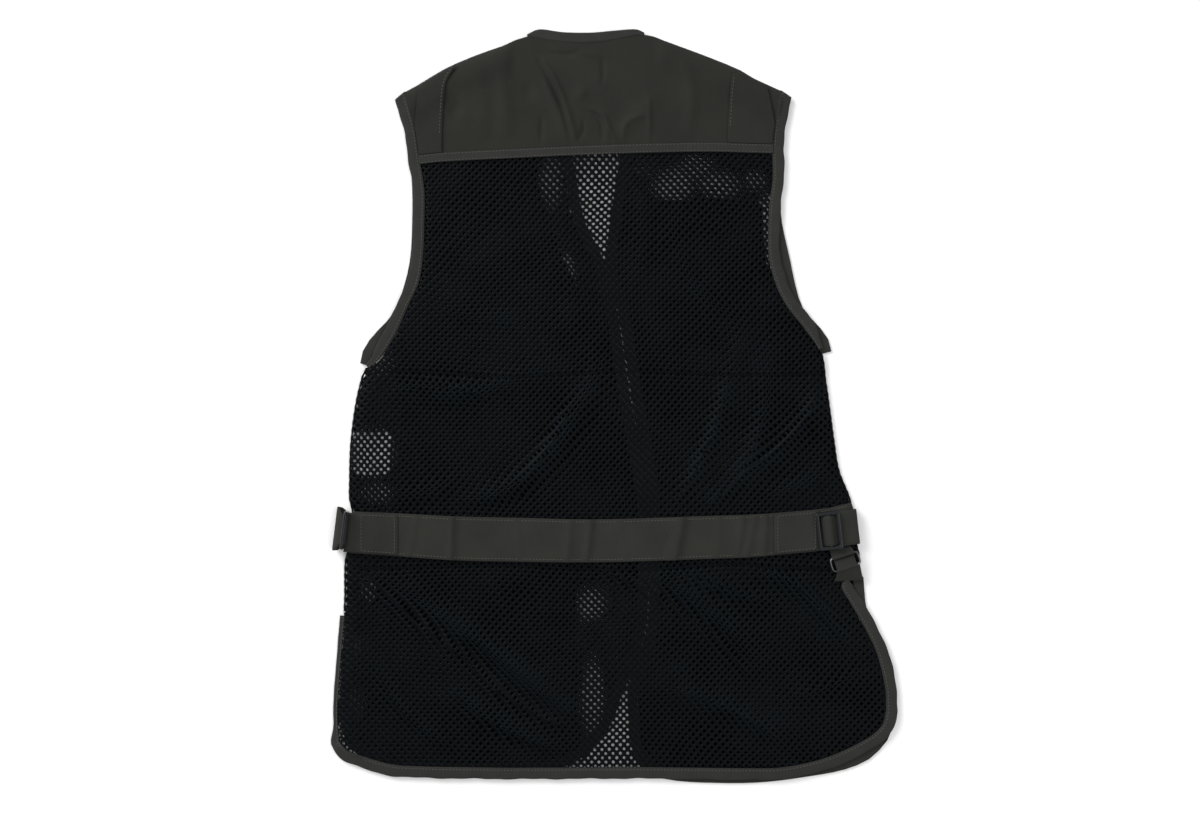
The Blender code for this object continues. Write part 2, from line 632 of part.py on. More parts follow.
def make_yoke():
    """Cloth yoke, returned with its grid."""
    across = [column / YOKE_COLUMNS for column in range(YOKE_COLUMNS + 1)]
    down = shares(YOKE_TOP_SHARES, YOKE_ROWS, False)
    seam = shift(smooth_curve(YOKE_SEAM), -SEAM_GAP / 2)
    left = smooth_curve(YOKE_LEFT[:-1] + (tuple(seam[0]),))
    right = smooth_curve(YOKE_RIGHT[:-1] + (tuple(seam[-1]),))
    grid = patch_grid(BACK_TOP, seam, left, right, across, down)
    wall("yoke", grid, back_height, MESH_WALL, "cloth")
    return grid


def patch_height(x, y):
    """Underside of the shoulder patches."""
    return over_back(x, y) + PATCH_MARGIN


def make_yoke_trim(yoke_grid):
    """Tape over the yoke seam, the two shoulder patches and the neck binding."""
    seam = even_points(smooth_curve(YOKE_SEAM), EDGE_SPACING)
    tape = strip_grid(shift(seam, TAPE_WIDTH / 2), shift(seam, -TAPE_WIDTH / 2))
    wall("yoke_tape", tape, over_back, TAPE_WALL, "binding")
    above = shift(smooth_curve(YOKE_SEAM), -TAPE_WIDTH / 2 - SEAM_GAP)
    sides = [shift(smooth_curve(YOKE_LEFT), -PATCH_INSET), shift(smooth_curve(YOKE_RIGHT), PATCH_INSET)]
    left_side, right_side = [
        [p for p in side[1:] if p.y > height_at(above, p.x) + SEAM_GAP] for side in sides
    ]
    for name, left, right in (
        ("shoulder_patch_left", left_side, smooth_curve(PATCH_EDGE_LEFT)),
        ("shoulder_patch_right", smooth_curve(PATCH_EDGE_RIGHT), right_side),
    ):
        bottom = []
        for share in PATCH_SHARES:
            x = left[-1].x + (right[-1].x - left[-1].x) * share
            bottom.append(Vector((x, height_at(above, x))))
        top = [left[0].lerp(right[0], share) for share in PATCH_SHARES]
        for point in top[1:-1]:
            point.y = max(point.y, height_at(BACK_TOP, point.x) - PATCH_TOP_INSET)
        grid = patch_grid(top, bottom, left + bottom[:1], right + bottom[-1:], PATCH_SHARES, PATCH_SHARES)
        wall(name, grid, patch_height, PATCH_WALL, "cloth")
    low = halved([p for p in yoke_grid[0] if NECK_EDGE[0][0] < p.x < NECK_EDGE[-1][0]])
    low = shift(low, -BINDING_DROP)
    edge = smooth_curve(NECK_EDGE)
    high = [Vector((p.x, max(height_at(edge, p.x), p.y + NECK_LEAST))) for p in low]
    level = BACK_REST - BINDING_DROP
    wall("neck_binding", strip_grid(low, high), lambda x, y: level, BINDING_WALL, "binding")


def binding_height(place):
    """Underside of the back's bindings, low where the edge turns down to the side fold."""
    return max(FOLD_FOOT, min(back_height(place.x, place.y), BACK_REST) - BINDING_DROP)


def make_back_bindings(mesh_grid, yoke_grid):
    """Armhole bindings of the back, and the binding of its vents and hem."""
    level = BACK_REST - BINDING_DROP
    for name, column, side, last_y in (
        ("armhole_binding_back_left", 0, 1.0, ARM_END_LEFT),
        ("armhole_binding_back_right", -1, -1.0, ARM_END_RIGHT),
    ):
        edge = [row[column] for row in yoke_grid[ARM_FIRST_ROW:]]
        edge += [row[column] for row in mesh_grid[1:] if row[column].y > last_y]
        inner = shift(edge, side * SEAM_GAP)
        outer = shift(edge, side * BINDING_WIDTH)
        for index, share in ARM_TAPER:
            outer[index] = inner[index].lerp(outer[index], share)
        wall(name, strip_grid(inner, outer), lambda x, y: level, BINDING_WALL, "binding")

    left = [row[0] for row in mesh_grid if row[0].y < HEM_START_LEFT]
    right = [row[-1] for row in reversed(mesh_grid) if row[-1].y < HEM_START_RIGHT]
    edge = left + mesh_grid[-1][1:-1] + right
    inner = shift(edge, SEAM_GAP)
    outer = []
    for start, base in zip(inner, edge):
        flat_share = ease(-base.y, *HEM_TURN_OUT) if base.x < HEM_TURNED_SIDE else 1.0
        width = TURNED_BINDING_WIDTH + (BINDING_WIDTH - TURNED_BINDING_WIDTH) * flat_share
        outer.append(base + (start - base) * (width / SEAM_GAP))
    grid = strip_grid(inner, outer)
    levels = [[binding_height(row[0])] * len(row) for row in grid]
    wall_at("hem_binding_back", grid, levels, BINDING_WALL, "binding")


def flat(x, y):
    """Height of the floor."""
    return 0.0


def front_edge(neck, side, hem):
    """Free edge of a front, from the neck down the centre and round the hem to the vent."""
    centre = tuple((x + side * gap / 2, y) for x, y, gap in CENTRE_LINE)
    return even_points(smooth_curve(neck + centre + hem), EDGE_SPACING)


def make_front_bindings(edges, armholes):
    """Bindings of the fronts, from columns name, edge, side that is inward."""
    apex = CENTRE_LINE[-1][1]
    for name, points, inward in edges:
        turn = next(index for index, point in enumerate(points) if point.y < apex)
        grid = strip_grid(shift(points, inward * BINDING_WIDTH), points, 1)
        wall("front_edge_binding_" + name, grid[:turn + 1], flat, FRONT_BINDING_WALL, "binding")
        rest = grid[turn:]
        rest[0] = [p + (q - p).normalized() * SEAM_GAP for p, q in zip(rest[0], rest[1])]
        wall("hem_binding_front_" + name, rest, flat, FRONT_BINDING_WALL, "binding")
    for name, points, inward in armholes:
        grid = strip_grid(shift(points, inward * BINDING_WIDTH), points, 1)
        wall("armhole_binding_front_" + name, grid, flat, FRONT_BINDING_WALL, "binding")


def make_fronts(mesh_grid, yoke_grid):
    """The two fronts with their bindings, all flat on the floor."""
    left_edge = front_edge(NECK_V_LEFT, -1.0, FRONT_HEM_LEFT)
    right_edge = front_edge(NECK_V_RIGHT, 1.0, FRONT_HEM_RIGHT)
    left_arm = even_points(smooth_curve(FRONT_ARMHOLE_LEFT), EDGE_SPACING)
    right_arm = even_points(smooth_curve(FRONT_ARMHOLE_RIGHT), EDGE_SPACING)
    edges = (("left", left_edge, 1.0), ("right", right_edge, -1.0))
    armholes = (("left", left_arm, -1.0), ("right", right_arm, 1.0))
    make_front_bindings(edges, armholes)

    inset = BINDING_WIDTH + SEAM_GAP
    half = SEAM_GAP / 2
    left_free = shift(left_edge, inset)
    right_free = shift(right_edge, -inset)[::-1]
    left_arm_free = shift(left_arm, -inset)[::-1]
    right_arm_free = shift(right_arm, inset)
    shoulder_left = shift([p for p in yoke_grid[0] if p.x < NECK_EDGE[0][0]], FRONT_INSET)
    shoulder_right = shift([p for p in yoke_grid[0] if p.x > NECK_EDGE[-1][0]], FRONT_INSET)
    side_left = [row[0] for row in mesh_grid if SIDE_SPAN_LEFT[0] > row[0].y > SIDE_SPAN_LEFT[1]]
    side_left = shift(side_left, -FRONT_INSET)[::-1]
    side_right = [row[-1] for row in mesh_grid if SIDE_SPAN_RIGHT[0] > row[-1].y > SIDE_SPAN_RIGHT[1]]
    side_right = shift(side_right, FRONT_INSET)
    neck_seam = smooth_curve(NECK_SEAM_LEFT)
    side_seam = smooth_curve(SIDE_SEAM_LEFT)
    hem_seam = smooth_curve(HEM_SEAM_LEFT)
    chest_seam = smooth_curve(CHEST_SEAM_RIGHT)
    hem_top = [Vector(point) for point in HEM_SEAM_TOP]
    underarm = [Vector(point) for point in UNDERARM_LEFT]
    vent_left = [Vector(point) for point in VENT_TOP_LEFT]
    vent_right = [Vector(point) for point in VENT_TOP_RIGHT]
    lower_left = left_free[next(i for i, p in enumerate(left_free) if p.y < HEM_SEAM_TOP[0][1]) - 1:]
    hem_left = [p for p in lower_left if p.y < HEM_SEAM_LEFT[1][1] or p.x < HEM_SEAM_LEFT[0][0]]
    centre_left = [p for p in left_free if NECK_SEAM_LEFT[-2][1] > p.y > HEM_SEAM_TOP[0][1]]
    centre_left = [p for p in centre_left if p.x > NECK_SEAM_LEFT[-2][0]]
    panels = (
        ("front_left", "cloth", (
            shoulder_left, shift(neck_seam, half), centre_left, shift(hem_top, half), shift(hem_seam, half),
            hem_left, shift(side_seam, -half)[::-1], left_arm_free,
        )),
        ("neck_mesh_left", "mesh", (
            shoulder_left, left_free[:left_free.index(centre_left[0]) + NECK_SEAM_REACH],
            shift(neck_seam, -half)[::-1],
        )),
        ("side_mesh_left", "mesh", (
            shift(side_seam, half), hem_left, vent_left, side_left, underarm, left_arm_free,
        )),
        ("hem_mesh_left", "mesh", (
            shift(hem_top, -half)[::-1], lower_left, shift(hem_seam, -half)[::-1],
        )),
        ("chest_mesh_right", "mesh", (
            shoulder_right, right_arm_free, shift(chest_seam, -half)[::-1], right_free,
        )),
        ("front_right", "cloth", (
            shift(chest_seam, half), right_arm_free, side_right, vent_right, right_free,
        )),
    )
    for name, finish, curves in panels:
        slab(name, joined_outline(curves), FRONT_WALL, finish)


def belt_height(x, y):
    """Underside of the belt, with its soft creases."""
    rise = sum(height * math.exp(-(((x - middle) / width) ** 2)) for middle, height, width in BELT_CREASES)
    return over_back(x, y) + BELT_MARGIN + rise


def on_belt(x, y):
    """Height just above the belt near a place."""
    near = max(belt_height(x - NEAR_REACH, y), belt_height(x, y), belt_height(x + NEAR_REACH, y))
    return near + BELT_WALL + SEAM_GAP


def tab_left_end(y):
    """x where the left tab ends beside the standing buckle."""
    return LEFT_BUCKLE[0] + TAB_LEFT_REACH - math.tan(LEFT_TURN) * (y - LEFT_BUCKLE[1])


def tab_left_height(x, y):
    """Underside of the left tab: on the belt, then up to the middle bar of its buckle."""
    bend = TAB_LEFT_COLUMNS[-1]
    low = on_belt(max(x, bend), y)
    return low + (TAB_LEFT_LEVEL - low) * ease(-x, -bend, -tab_left_end(y))


def make_belt():
    """The belt across the back and the two stitched tabs on it."""
    top = smooth_curve([(x, y) for x, y, low_x, low_y in BELT_EDGES])
    bottom = smooth_curve([(low_x, low_y) for x, y, low_x, low_y in BELT_EDGES])
    columns = [column / BELT_COLUMNS for column in range(BELT_COLUMNS + 1)]
    grid = []
    for row in range(BELT_ROWS + 1):
        grid.append([along(top, share).lerp(along(bottom, share), row / BELT_ROWS) for share in columns])
    wall("belt", grid, belt_height, BELT_WALL, "webbing")

    left, right = [], []
    for row in range(BELT_ROWS + 1):
        share = row / BELT_ROWS
        lines = []
        for columns in (TAB_LEFT_COLUMNS, TAB_RIGHT_COLUMNS):
            line = []
            for x in columns:
                high = height_at(top, x) - TAB_INSET
                low = height_at(bottom, x) + TAB_INSET
                line.append(Vector((x, high + (low - high) * share)))
            lines.append(line)
        last = lines[0][-1]
        end = Vector((tab_left_end(last.y), last.y))
        left.append(lines[0] + [last.lerp(end, part) for part in TAB_LEFT_ENDS])
        right.append(lines[1])
    wall("belt_tab_left", left, tab_left_height, TAB_WALL, "webbing")
    wall("belt_tab_right", right, on_belt, TAB_WALL, "webbing")


def make_buckle(name):
    """Slide buckle with three bars, flat about its middle."""
    mesh = bmesh.new()
    spots = [[mesh.verts.new((x, y, -BUCKLE_THICKNESS / 2)) for y in BUCKLE_ROWS] for x in BUCKLE_COLUMNS]
    cells = []
    for i in range(len(BUCKLE_COLUMNS) - 1):
        for j in range(len(BUCKLE_ROWS) - 1):
            if i % 2 == 1 and j == 1:
                continue
            cells.append(mesh.faces.new((spots[i][j], spots[i + 1][j], spots[i + 1][j + 1], spots[i][j + 1])))
    grown = bmesh.ops.extrude_face_region(mesh, geom=cells)
    raised = [item for item in grown["geom"] if isinstance(item, bmesh.types.BMVert)]
    bmesh.ops.translate(mesh, vec=(0.0, 0.0, BUCKLE_THICKNESS), verts=raised)
    corners = []
    for edge in mesh.edges:
        middle = (edge.verts[0].co + edge.verts[1].co) / 2
        if abs(middle.x) > BUCKLE_COLUMNS[-1] - TINY and abs(middle.y) > BUCKLE_ROWS[-1] - TINY:
            corners.append(edge)
    bmesh.ops.bevel(
        mesh, geom=corners, offset=BUCKLE_CORNER, segments=BUCKLE_CORNER_PARTS, profile=0.5, affect="EDGES",
    )
    mesh.normal_update()
    rims = []
    for edge in mesh.edges:
        level = edge.verts[0].co.z - edge.verts[1].co.z
        if abs(level) < TINY and edge.calc_face_angle(0.0) > RIM_ANGLE:
            rims.append(edge)
    bmesh.ops.bevel(mesh, geom=rims, offset=BUCKLE_EDGE, segments=1, profile=0.5, affect="EDGES")
    return finish_piece(name, mesh, "plastic")


def make_buckles():
    """Both slide buckles and the straps through them."""
    rise = math.tan(RIGHT_TILT)
    level = 0.0
    for x in BUCKLE_COLUMNS:
        for y in BUCKLE_ROWS:
            beneath = on_belt(*turned(RIGHT_BUCKLE, RIGHT_TURN, x, y)) - SEAM_GAP
            level = max(level, beneath + RIGHT_CLEARANCE - x * rise)
    put(make_buckle("buckle_right"), RIGHT_BUCKLE, level, RIGHT_TURN, -RIGHT_TILT)
    stations = [(x, level + x * rise + z, high, low) for x, z, high, low in STRAP_RIGHT_THREAD]
    for x in STRAP_RIGHT_COLUMNS:
        spots = [turned(RIGHT_BUCKLE, RIGHT_TURN, x, y) for y in BUCKLE_ROWS + (0.0,)]
        stations.append((x, max(on_belt(*spot) for spot in spots) + STRAP_WALL / 2, *STRAP_RIGHT_HALVES))
    last = stations[-1][1]
    stations += [(x, last - drop, *STRAP_RIGHT_HALVES) for x, drop in STRAP_RIGHT_DROP]
    stations.append((STRAP_RIGHT_DROP[-1][0], STRAP_RIGHT_FOOT, *STRAP_RIGHT_HALVES))
    put(ribbon("belt_strap_right", stations, STRAP_WALL, "webbing"), RIGHT_BUCKLE, 0.0, RIGHT_TURN)
    put(make_buckle("buckle_left"), LEFT_BUCKLE, LEFT_BUCKLE_LEVEL, LEFT_TURN, math.pi / 2)
    put(ribbon("belt_strap_left", STRAP_LEFT_ROWS, STRAP_WALL, "webbing"), LEFT_BUCKLE, 0.0, LEFT_TURN)


def ring_path():
    """Middle of the ring's wire, as points with their outward direction."""
    radius = RING_CORNER - RING_WIRE
    path = []
    for quarter, (side_x, side_y) in enumerate(((1, 1), (-1, 1), (-1, -1), (1, -1))):
        middle_x = side_x * (RING_LENGTH / 2 - RING_WIRE - radius)
        middle_y = side_y * (RING_HEIGHT / 2 - RING_WIRE - radius)
        for part in range(RING_CORNER_PARTS + 1):
            angle = (quarter + part / RING_CORNER_PARTS) * math.pi / 2
            out = Vector((math.cos(angle), math.sin(angle)))
            path.append((Vector((middle_x, middle_y)) + out * radius, out))
    return path


def make_ring():
    """The ring of round wire, and the cloth above it and in it."""
    path = ring_path()
    level = RING_WIRE + max(over_back(*turned(RING_CENTRE, RING_TURN, *place)) for place, out in path)
    mesh = bmesh.new()
    loops = []
    for place, out in path:
        loop = []
        for side in range(RING_SIDES):
            angle = 2 * math.pi * side / RING_SIDES
            spot = place + out * RING_WIRE * math.cos(angle)
            loop.append(mesh.verts.new((spot.x, spot.y, RING_WIRE * math.sin(angle))))
        loops.append(loop)
    for before, loop in zip(loops[-1:] + loops, loops):
        for side in range(RING_SIDES):
            mesh.faces.new((before[side - 1], before[side], loop[side], loop[side - 1]))
    put(finish_piece("ring", mesh, "ring_metal"), RING_CENTRE, level, RING_TURN)
    for name, rows in (("ring_loop", RING_LOOP_ROWS), ("vent_tab", VENT_TAB_ROWS)):
        grid, levels = [], []
        for left_down, left_across, right_down, right_across, lift in rows:
            left = turned(RING_CENTRE, RING_TURN - math.pi / 2, left_down, left_across)
            right = turned(RING_CENTRE, RING_TURN - math.pi / 2, right_down, right_across)
            row = [left.lerp(right, part / RING_CLOTH_PARTS) for part in range(RING_CLOTH_PARTS + 1)]
            grid.append(row)
            levels.append([max(level + lift, *(over_back(*p) for p in row))] * len(row))
        wall_at(name, grid, levels, RING_CLOTH_WALL, "webbing")


def centre_vest():
    """Move all pieces so that the middle of the vest's floor plan is at the origin."""
    bpy.context.view_layer.update()
    corners = []
    for piece in bpy.data.objects:
        corners += [piece.matrix_world @ vertex.co for vertex in piece.data.vertices]
    middle_x = (min(c.x for c in corners) + max(c.x for c in corners)) / 2
    middle_y = (min(c.y for c in corners) + max(c.y for c in corners)) / 2
    for piece in bpy.data.objects:
        piece.location.x -= middle_x
        piece.location.y -= middle_y


def make_vest():
    clear_scene()
    mesh_grid = make_back()
    yoke_grid = make_yoke()
    make_yoke_trim(yoke_grid)
    make_back_bindings(mesh_grid, yoke_grid)
    make_fronts(mesh_grid, yoke_grid)
    make_belt()
    make_buckles()
    make_ring()
    centre_vest()


make_vest()
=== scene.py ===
"""Looks of a shooting vest of open mesh and dark olive cloth, laid flat with its back up.

All plans are in millimetres as in the solids: x to the right, y to the neck, z up from the floor.
"""

import math

import bmesh
import bpy
import numpy as np
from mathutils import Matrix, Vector


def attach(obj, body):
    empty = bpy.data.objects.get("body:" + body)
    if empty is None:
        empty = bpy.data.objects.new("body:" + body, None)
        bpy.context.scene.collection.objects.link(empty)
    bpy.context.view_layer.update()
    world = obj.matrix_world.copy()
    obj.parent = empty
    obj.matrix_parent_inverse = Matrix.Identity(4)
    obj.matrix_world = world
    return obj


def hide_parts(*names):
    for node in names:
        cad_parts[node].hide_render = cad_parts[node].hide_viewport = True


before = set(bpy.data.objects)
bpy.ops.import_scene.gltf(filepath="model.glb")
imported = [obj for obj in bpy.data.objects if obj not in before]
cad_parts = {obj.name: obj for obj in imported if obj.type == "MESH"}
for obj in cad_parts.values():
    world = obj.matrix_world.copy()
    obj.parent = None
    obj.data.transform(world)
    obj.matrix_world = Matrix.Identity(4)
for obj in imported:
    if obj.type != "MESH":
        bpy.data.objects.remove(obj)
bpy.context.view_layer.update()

MM = 0.001
OFFSET = (-0.702, 0.019)

# Walls and levels, as in the solids
REST = 3.2
FOOT = 0.4
FOLD_RADIUS = 8.0
SWELL = (2.5, 14.0, 12.0)
MESH_WALL = 1.5
NET_THICKNESS = 1.1
GAP = 0.3
NEAR = 4.0
EDGE_ROOM = 0.2
SEAM_ROOM = 0.15
BINDING_LEVEL = 2.85
BINDING_WIDTH = 10.0
BELT_WALL = 2.0
BELT_MARGIN = 0.2

# Columns x, y of the edges and seams, as in the solids
SIDE_LEFT = (
    (-194.5, 246), (-190, 216), (-190, 186), (-191, 156), (-195, 126), (-207, 99), (-219, 72), (-234, 49),
    (-248, 36), (-254, 20), (-259, -5), (-263, -40), (-264, -75), (-264, -92), (-261.5, -104), (-261.5, -122),
    (-264, -140), (-268.5, -156), (-269, -195), (-272, -232), (-275, -270), (-277, -305), (-275.5, -334.5),
)
SIDE_RIGHT = (
    (160, 257), (160.5, 228), (157, 198), (156, 156), (162, 127), (173, 103), (193, 77), (208, 54), (213, 24),
    (217, -4), (221, -34), (226, -64), (238, -96), (243, -134), (246, -150), (241, -166), (229, -178),
    (237, -194), (251, -218), (264, -245), (272.5, -279), (273.8, -303.5),
)
HEM_LINE = (
    (-275.5, -334.5), (-267, -343.5), (-256, -348.5), (-227, -357.5), (-198, -360.5), (-103, -362),
    (27, -361.5), (129, -362.5), (170, -361.5), (211, -352.5), (251, -334.5), (269, -319.5), (273.8, -303.5),
)
YOKE_SEAM = ((-194.5, 246), (-171, 248.5), (-114, 251.5), (-14, 256), (86, 258.5), (160, 257))
YOKE_TOP = (
    (-209.5, 313.5), (-194, 322), (-171, 336), (-152, 345), (-129, 354), (-114, 359), (-96, 366.5),
    (-85, 370.5), (-68, 367.6), (-45, 364.7), (-16, 364.7), (12, 369.7), (26, 372.3), (40, 369.5), (66, 360),
    (80, 355), (123, 338), (134, 331), (152, 322.5), (168.5, 315),
)
YOKE_LEFT = ((-209.5, 313.5), (-199.5, 278), (-194.5, 246))
YOKE_RIGHT = ((168.5, 315), (162.5, 282), (160, 257))
NECK_EDGE = ((-86, 371.5), (-73, 376.5), (-50, 373.6), (-22, 373.2), (1, 375.2), (22, 376.5), (31, 373.2))
PATCH_EDGE_LEFT = ((-157, 340), (-167, 322), (-170, 295), (-171, 270))
PATCH_EDGE_RIGHT = ((118, 331), (116, 310), (115, 292), (114, 277))
# Columns top x, top y, bottom x, bottom y
BELT_EDGES = (
    (-260.5, -104.5, -263, -146), (-215, -106.5, -215, -149.5), (-160, -109.5, -160, -153.5),
    (-95, -111, -95, -155), (-14, -112.5, -14, -155.5), (86, -109.5, 86, -152.5), (142, -107.5, 142, -150),
    (204, -102.5, 206, -144), (225, -98.5, 228, -140), (237.5, -95.5, 242, -136.5),
)
# Columns x, height, half width
BELT_CREASES = ((-160, 0.7, 6), (-44, 1, 7), (-24, 0.7, 6), (61, 1.2, 8), (128, 1, 7), (150, 0.7, 5))
# Columns start x, y, middle x, y, end x, y, half width, height
BACK_FOLDS = (
    (-250, -163, -144, -251, -50, -318, 9, -0.8), (-238, -168, -130, -238, -48, -302, 11, 3.6),
    (-152, -290, -112, -314, -62, -338, 9, 2.6), (-16, -160, 60, -198, 131, -266, 9, -0.8),
    (-2, -160, 74, -190, 142, -252, 11, 3.4), (44, -158, 101, -179, 150, -196, 9, 2.4),
    (131, -156, 187, -183, 228, -232, 11, 2.8), (63, -284, 119, -303, 157, -326, 12, 2.8),
    (-151, -97, -70, -55, -14, 46, 10, 3.4), (-138, -100, -58, -66, -2, 30, 8, -0.8),
    (-214, 18, -145, 14, -77, 38, 11, 2.8), (67, -90, 98, -30, 130, 74, 9, 3.2),
    (95, -97, 142, -35, 154, 57, 9, 2.8), (137, -72, 182, -28, 204, 20, 10, 3),
    (154, -90, 180, -80, 205, -66, 8, 1.8), (-212, -90, -186, -86, -161, -76, 9, 2),
    (-69, 336, -54, 296, -42, 258, 8, 1.8), (-9, 301, -6, 283, -2, 258, 7, 1.4),
    (46, 311, 14, 280, 4, 258, 7, 1.6), (-134, 330, -130, 294, -132, 262, 8, 1.4),
    (36, 348, 34, 300, 40, 262, 10, 1.3),
)
# Columns x, z, upper half width, lower half width
STRAP_LEFT_ROWS = (
    (1.9, 14.9, 14.9, 14.9), (0, 15.4, 14.9, 14.9), (-2.4, 15.2, 14.9, 14.9), (-4.4, 14.2, 17, 17),
    (-6.7, 12.3, 20, 20), (-8.8, 9.8, 21.5, 21.5), (-9.8, 6.8, 22, 22), (-8.8, 3.6, 22, 22),
    (-5.5, 1.3, 21.5, 21.5), (-1.9, 1.1, 19, 19),
)
STRAP_RIGHT_ROWS = (
    (-6.5, 9.84, 14.9, 14.9), (-4.2, 11.64, 14.9, 14.9), (-2.4, 14.9, 14.9, 14.9), (0, 15.81, 14.9, 14.9),
    (2.4, 15.32, 14.9, 14.9), (4.5, 12.6, 14.9, 14.9), (7, 11.12, 14.9, 14.9), (10.2, 11.3, 14.9, 14.9),
    (14, 10.7, 18.5, 16.5), (18, 10.7, 18.5, 16.5), (22, 10.7, 18.5, 16.5), (25.5, 10.42, 18.5, 16.5),
    (27.9, 9.92, 18.5, 16.5), (28.9, 8.02, 18.5, 16.5), (28.9, 1.3, 18.5, 16.5),
)
# x, y and turn in degrees
RIGHT_BUCKLE = (214.75, -123.75, 6.5)
LEFT_BUCKLE = (-267.5, -123.0, -7.0)
# Columns left x, y, right x, y, z: cloth above the ring and in it
LOOP_ROWS = (
    (215.2, -143, 236.4, -138.8, 7.5), (217.1, -148.9, 238.5, -142, 8.5), (218, -151.6, 239.8, -144.5, 10.1),
    (219.1, -153.5, 240, -146.7, 9.1),
)
TAB_ROWS = (
    (219.8, -153.9, 239.7, -147.5, 7.3), (222.3, -161.6, 242.2, -155.1, 8.7),
    (222.6, -164.4, 243.6, -157.6, 10.1), (222.5, -167.2, 245.4, -159.8, 8.5),
    (220.5, -174.5, 249.5, -173, 5.3),
)
# Columns start x, y, middle x, y, end x, y, half width, height: small creases of the yoke and the back
CREASES = (
    (-69, 352.5, -45, 351.5, -35, 355, 1.7, -2.25), (-29, 352.5, -22, 351, -14, 348, 1.6, 1.88),
    (-11, 348, -10.5, 335, -11, 321, 1.6, -2.25), (-75, 345, -55.5, 308.5, -42, 262, 2.1, -3.5),
    (-70, 346, -50.5, 309, -37, 262, 2, 2.62), (-69, 324, -64, 313, -58, 302, 2, 2.38),
    (-30, 286.5, -31, 273, -39, 262, 1.7, -2.38), (-27, 295, -13, 285, -12, 262.5, 1.8, -2.38),
    (-23, 297, -8, 287, -7, 262.5, 2.2, 2.25), (-4, 280, -1, 272, 3, 264, 1.6, 1.88),
    (34, 291, 14, 284, 11, 268, 2, 2.38), (-71.5, 288, -72, 274, -71.5, 260, 1.7, -2.25),
    (35, 307, 36, 285, 35, 262, 2, 1.88), (-34, 318, -32, 313, -36, 308, 6, 2.62),
    (-163, 303, -158, 297, -160, 288, 7, -2.25), (-88, 322, -84, 316, -84, 308, 6, -1.88),
    (70, 345, 78, 310, 74, 272, 7, 2.38), (-118, 350, -108, 310, -110, 268, 8, 2.25),
    (-260, -153, -200, -214, -144, -252, 4, 2.1), (-144, -252, -120, -280, -84, -303, 4, 1.8),
    (-84, -303, -64, -314, -46, -318, 3.6, 1.4), (-144, -303, -108, -324, -69, -338, 4, 1.4),
    (-16, -160, 37, -187, 82, -217, 4, 1.8), (82, -217, 108, -240, 131, -266, 4, 1.5),
    (44, -160, 101, -179, 149, -194, 3.8, 1.2), (131, -158, 187, -183, 232, -236, 4.2, 1.7),
    (63, -284, 119, -303, 157, -326, 4.4, 1.2), (-88, -73, -60, -31, -39, 7, 4, 1.7),
    (-214, 17, -168, 21, -130, 10, 4.2, 1.4), (67, -90, 95, -41, 112, 21, 3.8, 1.5),
    (95, -97, 130, -69, 147, -20, 3.6, 1.4), (137, -69, 186, -20, 207, 21, 3.8, 1.4),
    (-190, 120, -150, 90, -96, 92, 7, 1.2), (60, 190, 84, 120, 140, 84, 8, 1.4),
    (-60, 200, -40, 130, -52, 80, 8, 1), (20, 230, 30, 180, 22, 130, 8, 1),
    (-240, -250, -214, -300, -170, -334, 6, 1.2), (180, -290, 216, -280, 250, -262, 6, 1.2),
)
CREASE_PARTS = 8
MIDDLE = -29.0
# Spacing of the net's cells in a row, and of its rows
PITCH = 7.17
ROW = 3.86

# Materials


class Value:
    """A socket of a material, with the sums and products that its shader maths needs."""

    def __init__(self, look, socket):
        self.look = look
        self.socket = socket

    def maths(self, operation, *others):
        return self.look.node("ShaderNodeMath", dict(enumerate((self, *others))), operation=operation)

    def __add__(self, other):
        return self.maths("ADD", other)

    def __sub__(self, other):
        return self.maths("SUBTRACT", other)

    def __mul__(self, other):
        return self.maths("MULTIPLY", other)

    def wave(self, length):
        """Sine wave of half the given length."""
        return (self * (math.pi / length)).maths("SINE")

    def clamped(self):
        """The value, but no less than 0 and no more than 1."""
        return self.maths("MAXIMUM", 0.0).maths("MINIMUM", 1.0)


class Look:
    """A material with its nodes."""

    def __init__(self, name):
        self.material = bpy.data.materials.new(name)
        self.material.use_nodes = True
        self.tree = self.material.node_tree
        self.shader = self.tree.nodes["Principled BSDF"]
        self.spot = Value(self, self.tree.nodes.new("ShaderNodeTexCoord").outputs["Object"])

    def node(self, kind, sockets, output=0, **settings):
        made = self.tree.nodes.new(kind)
        for name, value in settings.items():
            setattr(made, name, value)
        for name, value in sockets.items():
            self.fill(made.inputs[name], value)
        return Value(self, made.outputs[output])

    def fill(self, socket, value):
        if isinstance(value, Value):
            self.tree.links.new(value.socket, socket)
        else:
            socket.default_value = value

    def plan(self):
        """Object coordinates in millimetres, as x and y."""
        split = self.node("ShaderNodeSeparateXYZ", {0: self.spot}).socket.node
        return [Value(self, split.outputs[axis]) * 1000.0 for axis in range(2)]

    def noise(self, scale, detail, roughness=0.55):
        sockets = {"Vector": self.spot, "Scale": scale, "Detail": detail, "Roughness": roughness}
        return self.node("ShaderNodeTexNoise", sockets)

    def blend(self, share, first, second):
        """Colour between two colours."""
        return self.node("ShaderNodeMix", {0: share, 6: first, 7: second}, 2, data_type="RGBA")

    def shades(self, share, colour, dark, light):
        """Colour between a darker and a lighter shade of a colour."""
        return self.blend(share, shade(colour, dark), shade(colour, light))

    def bump(self, height, strength, distance):
        return self.node("ShaderNodeBump", {"Height": height, "Strength": strength, "Distance": distance})

    def finish(self, **sockets):
        for name, value in sockets.items():
            self.fill(self.shader.inputs[name.replace("_", " ")], value)
        return self.material


def shade(colour, factor):
    return (colour[0] * factor, colour[1] * factor, colour[2] * factor, 1.0)


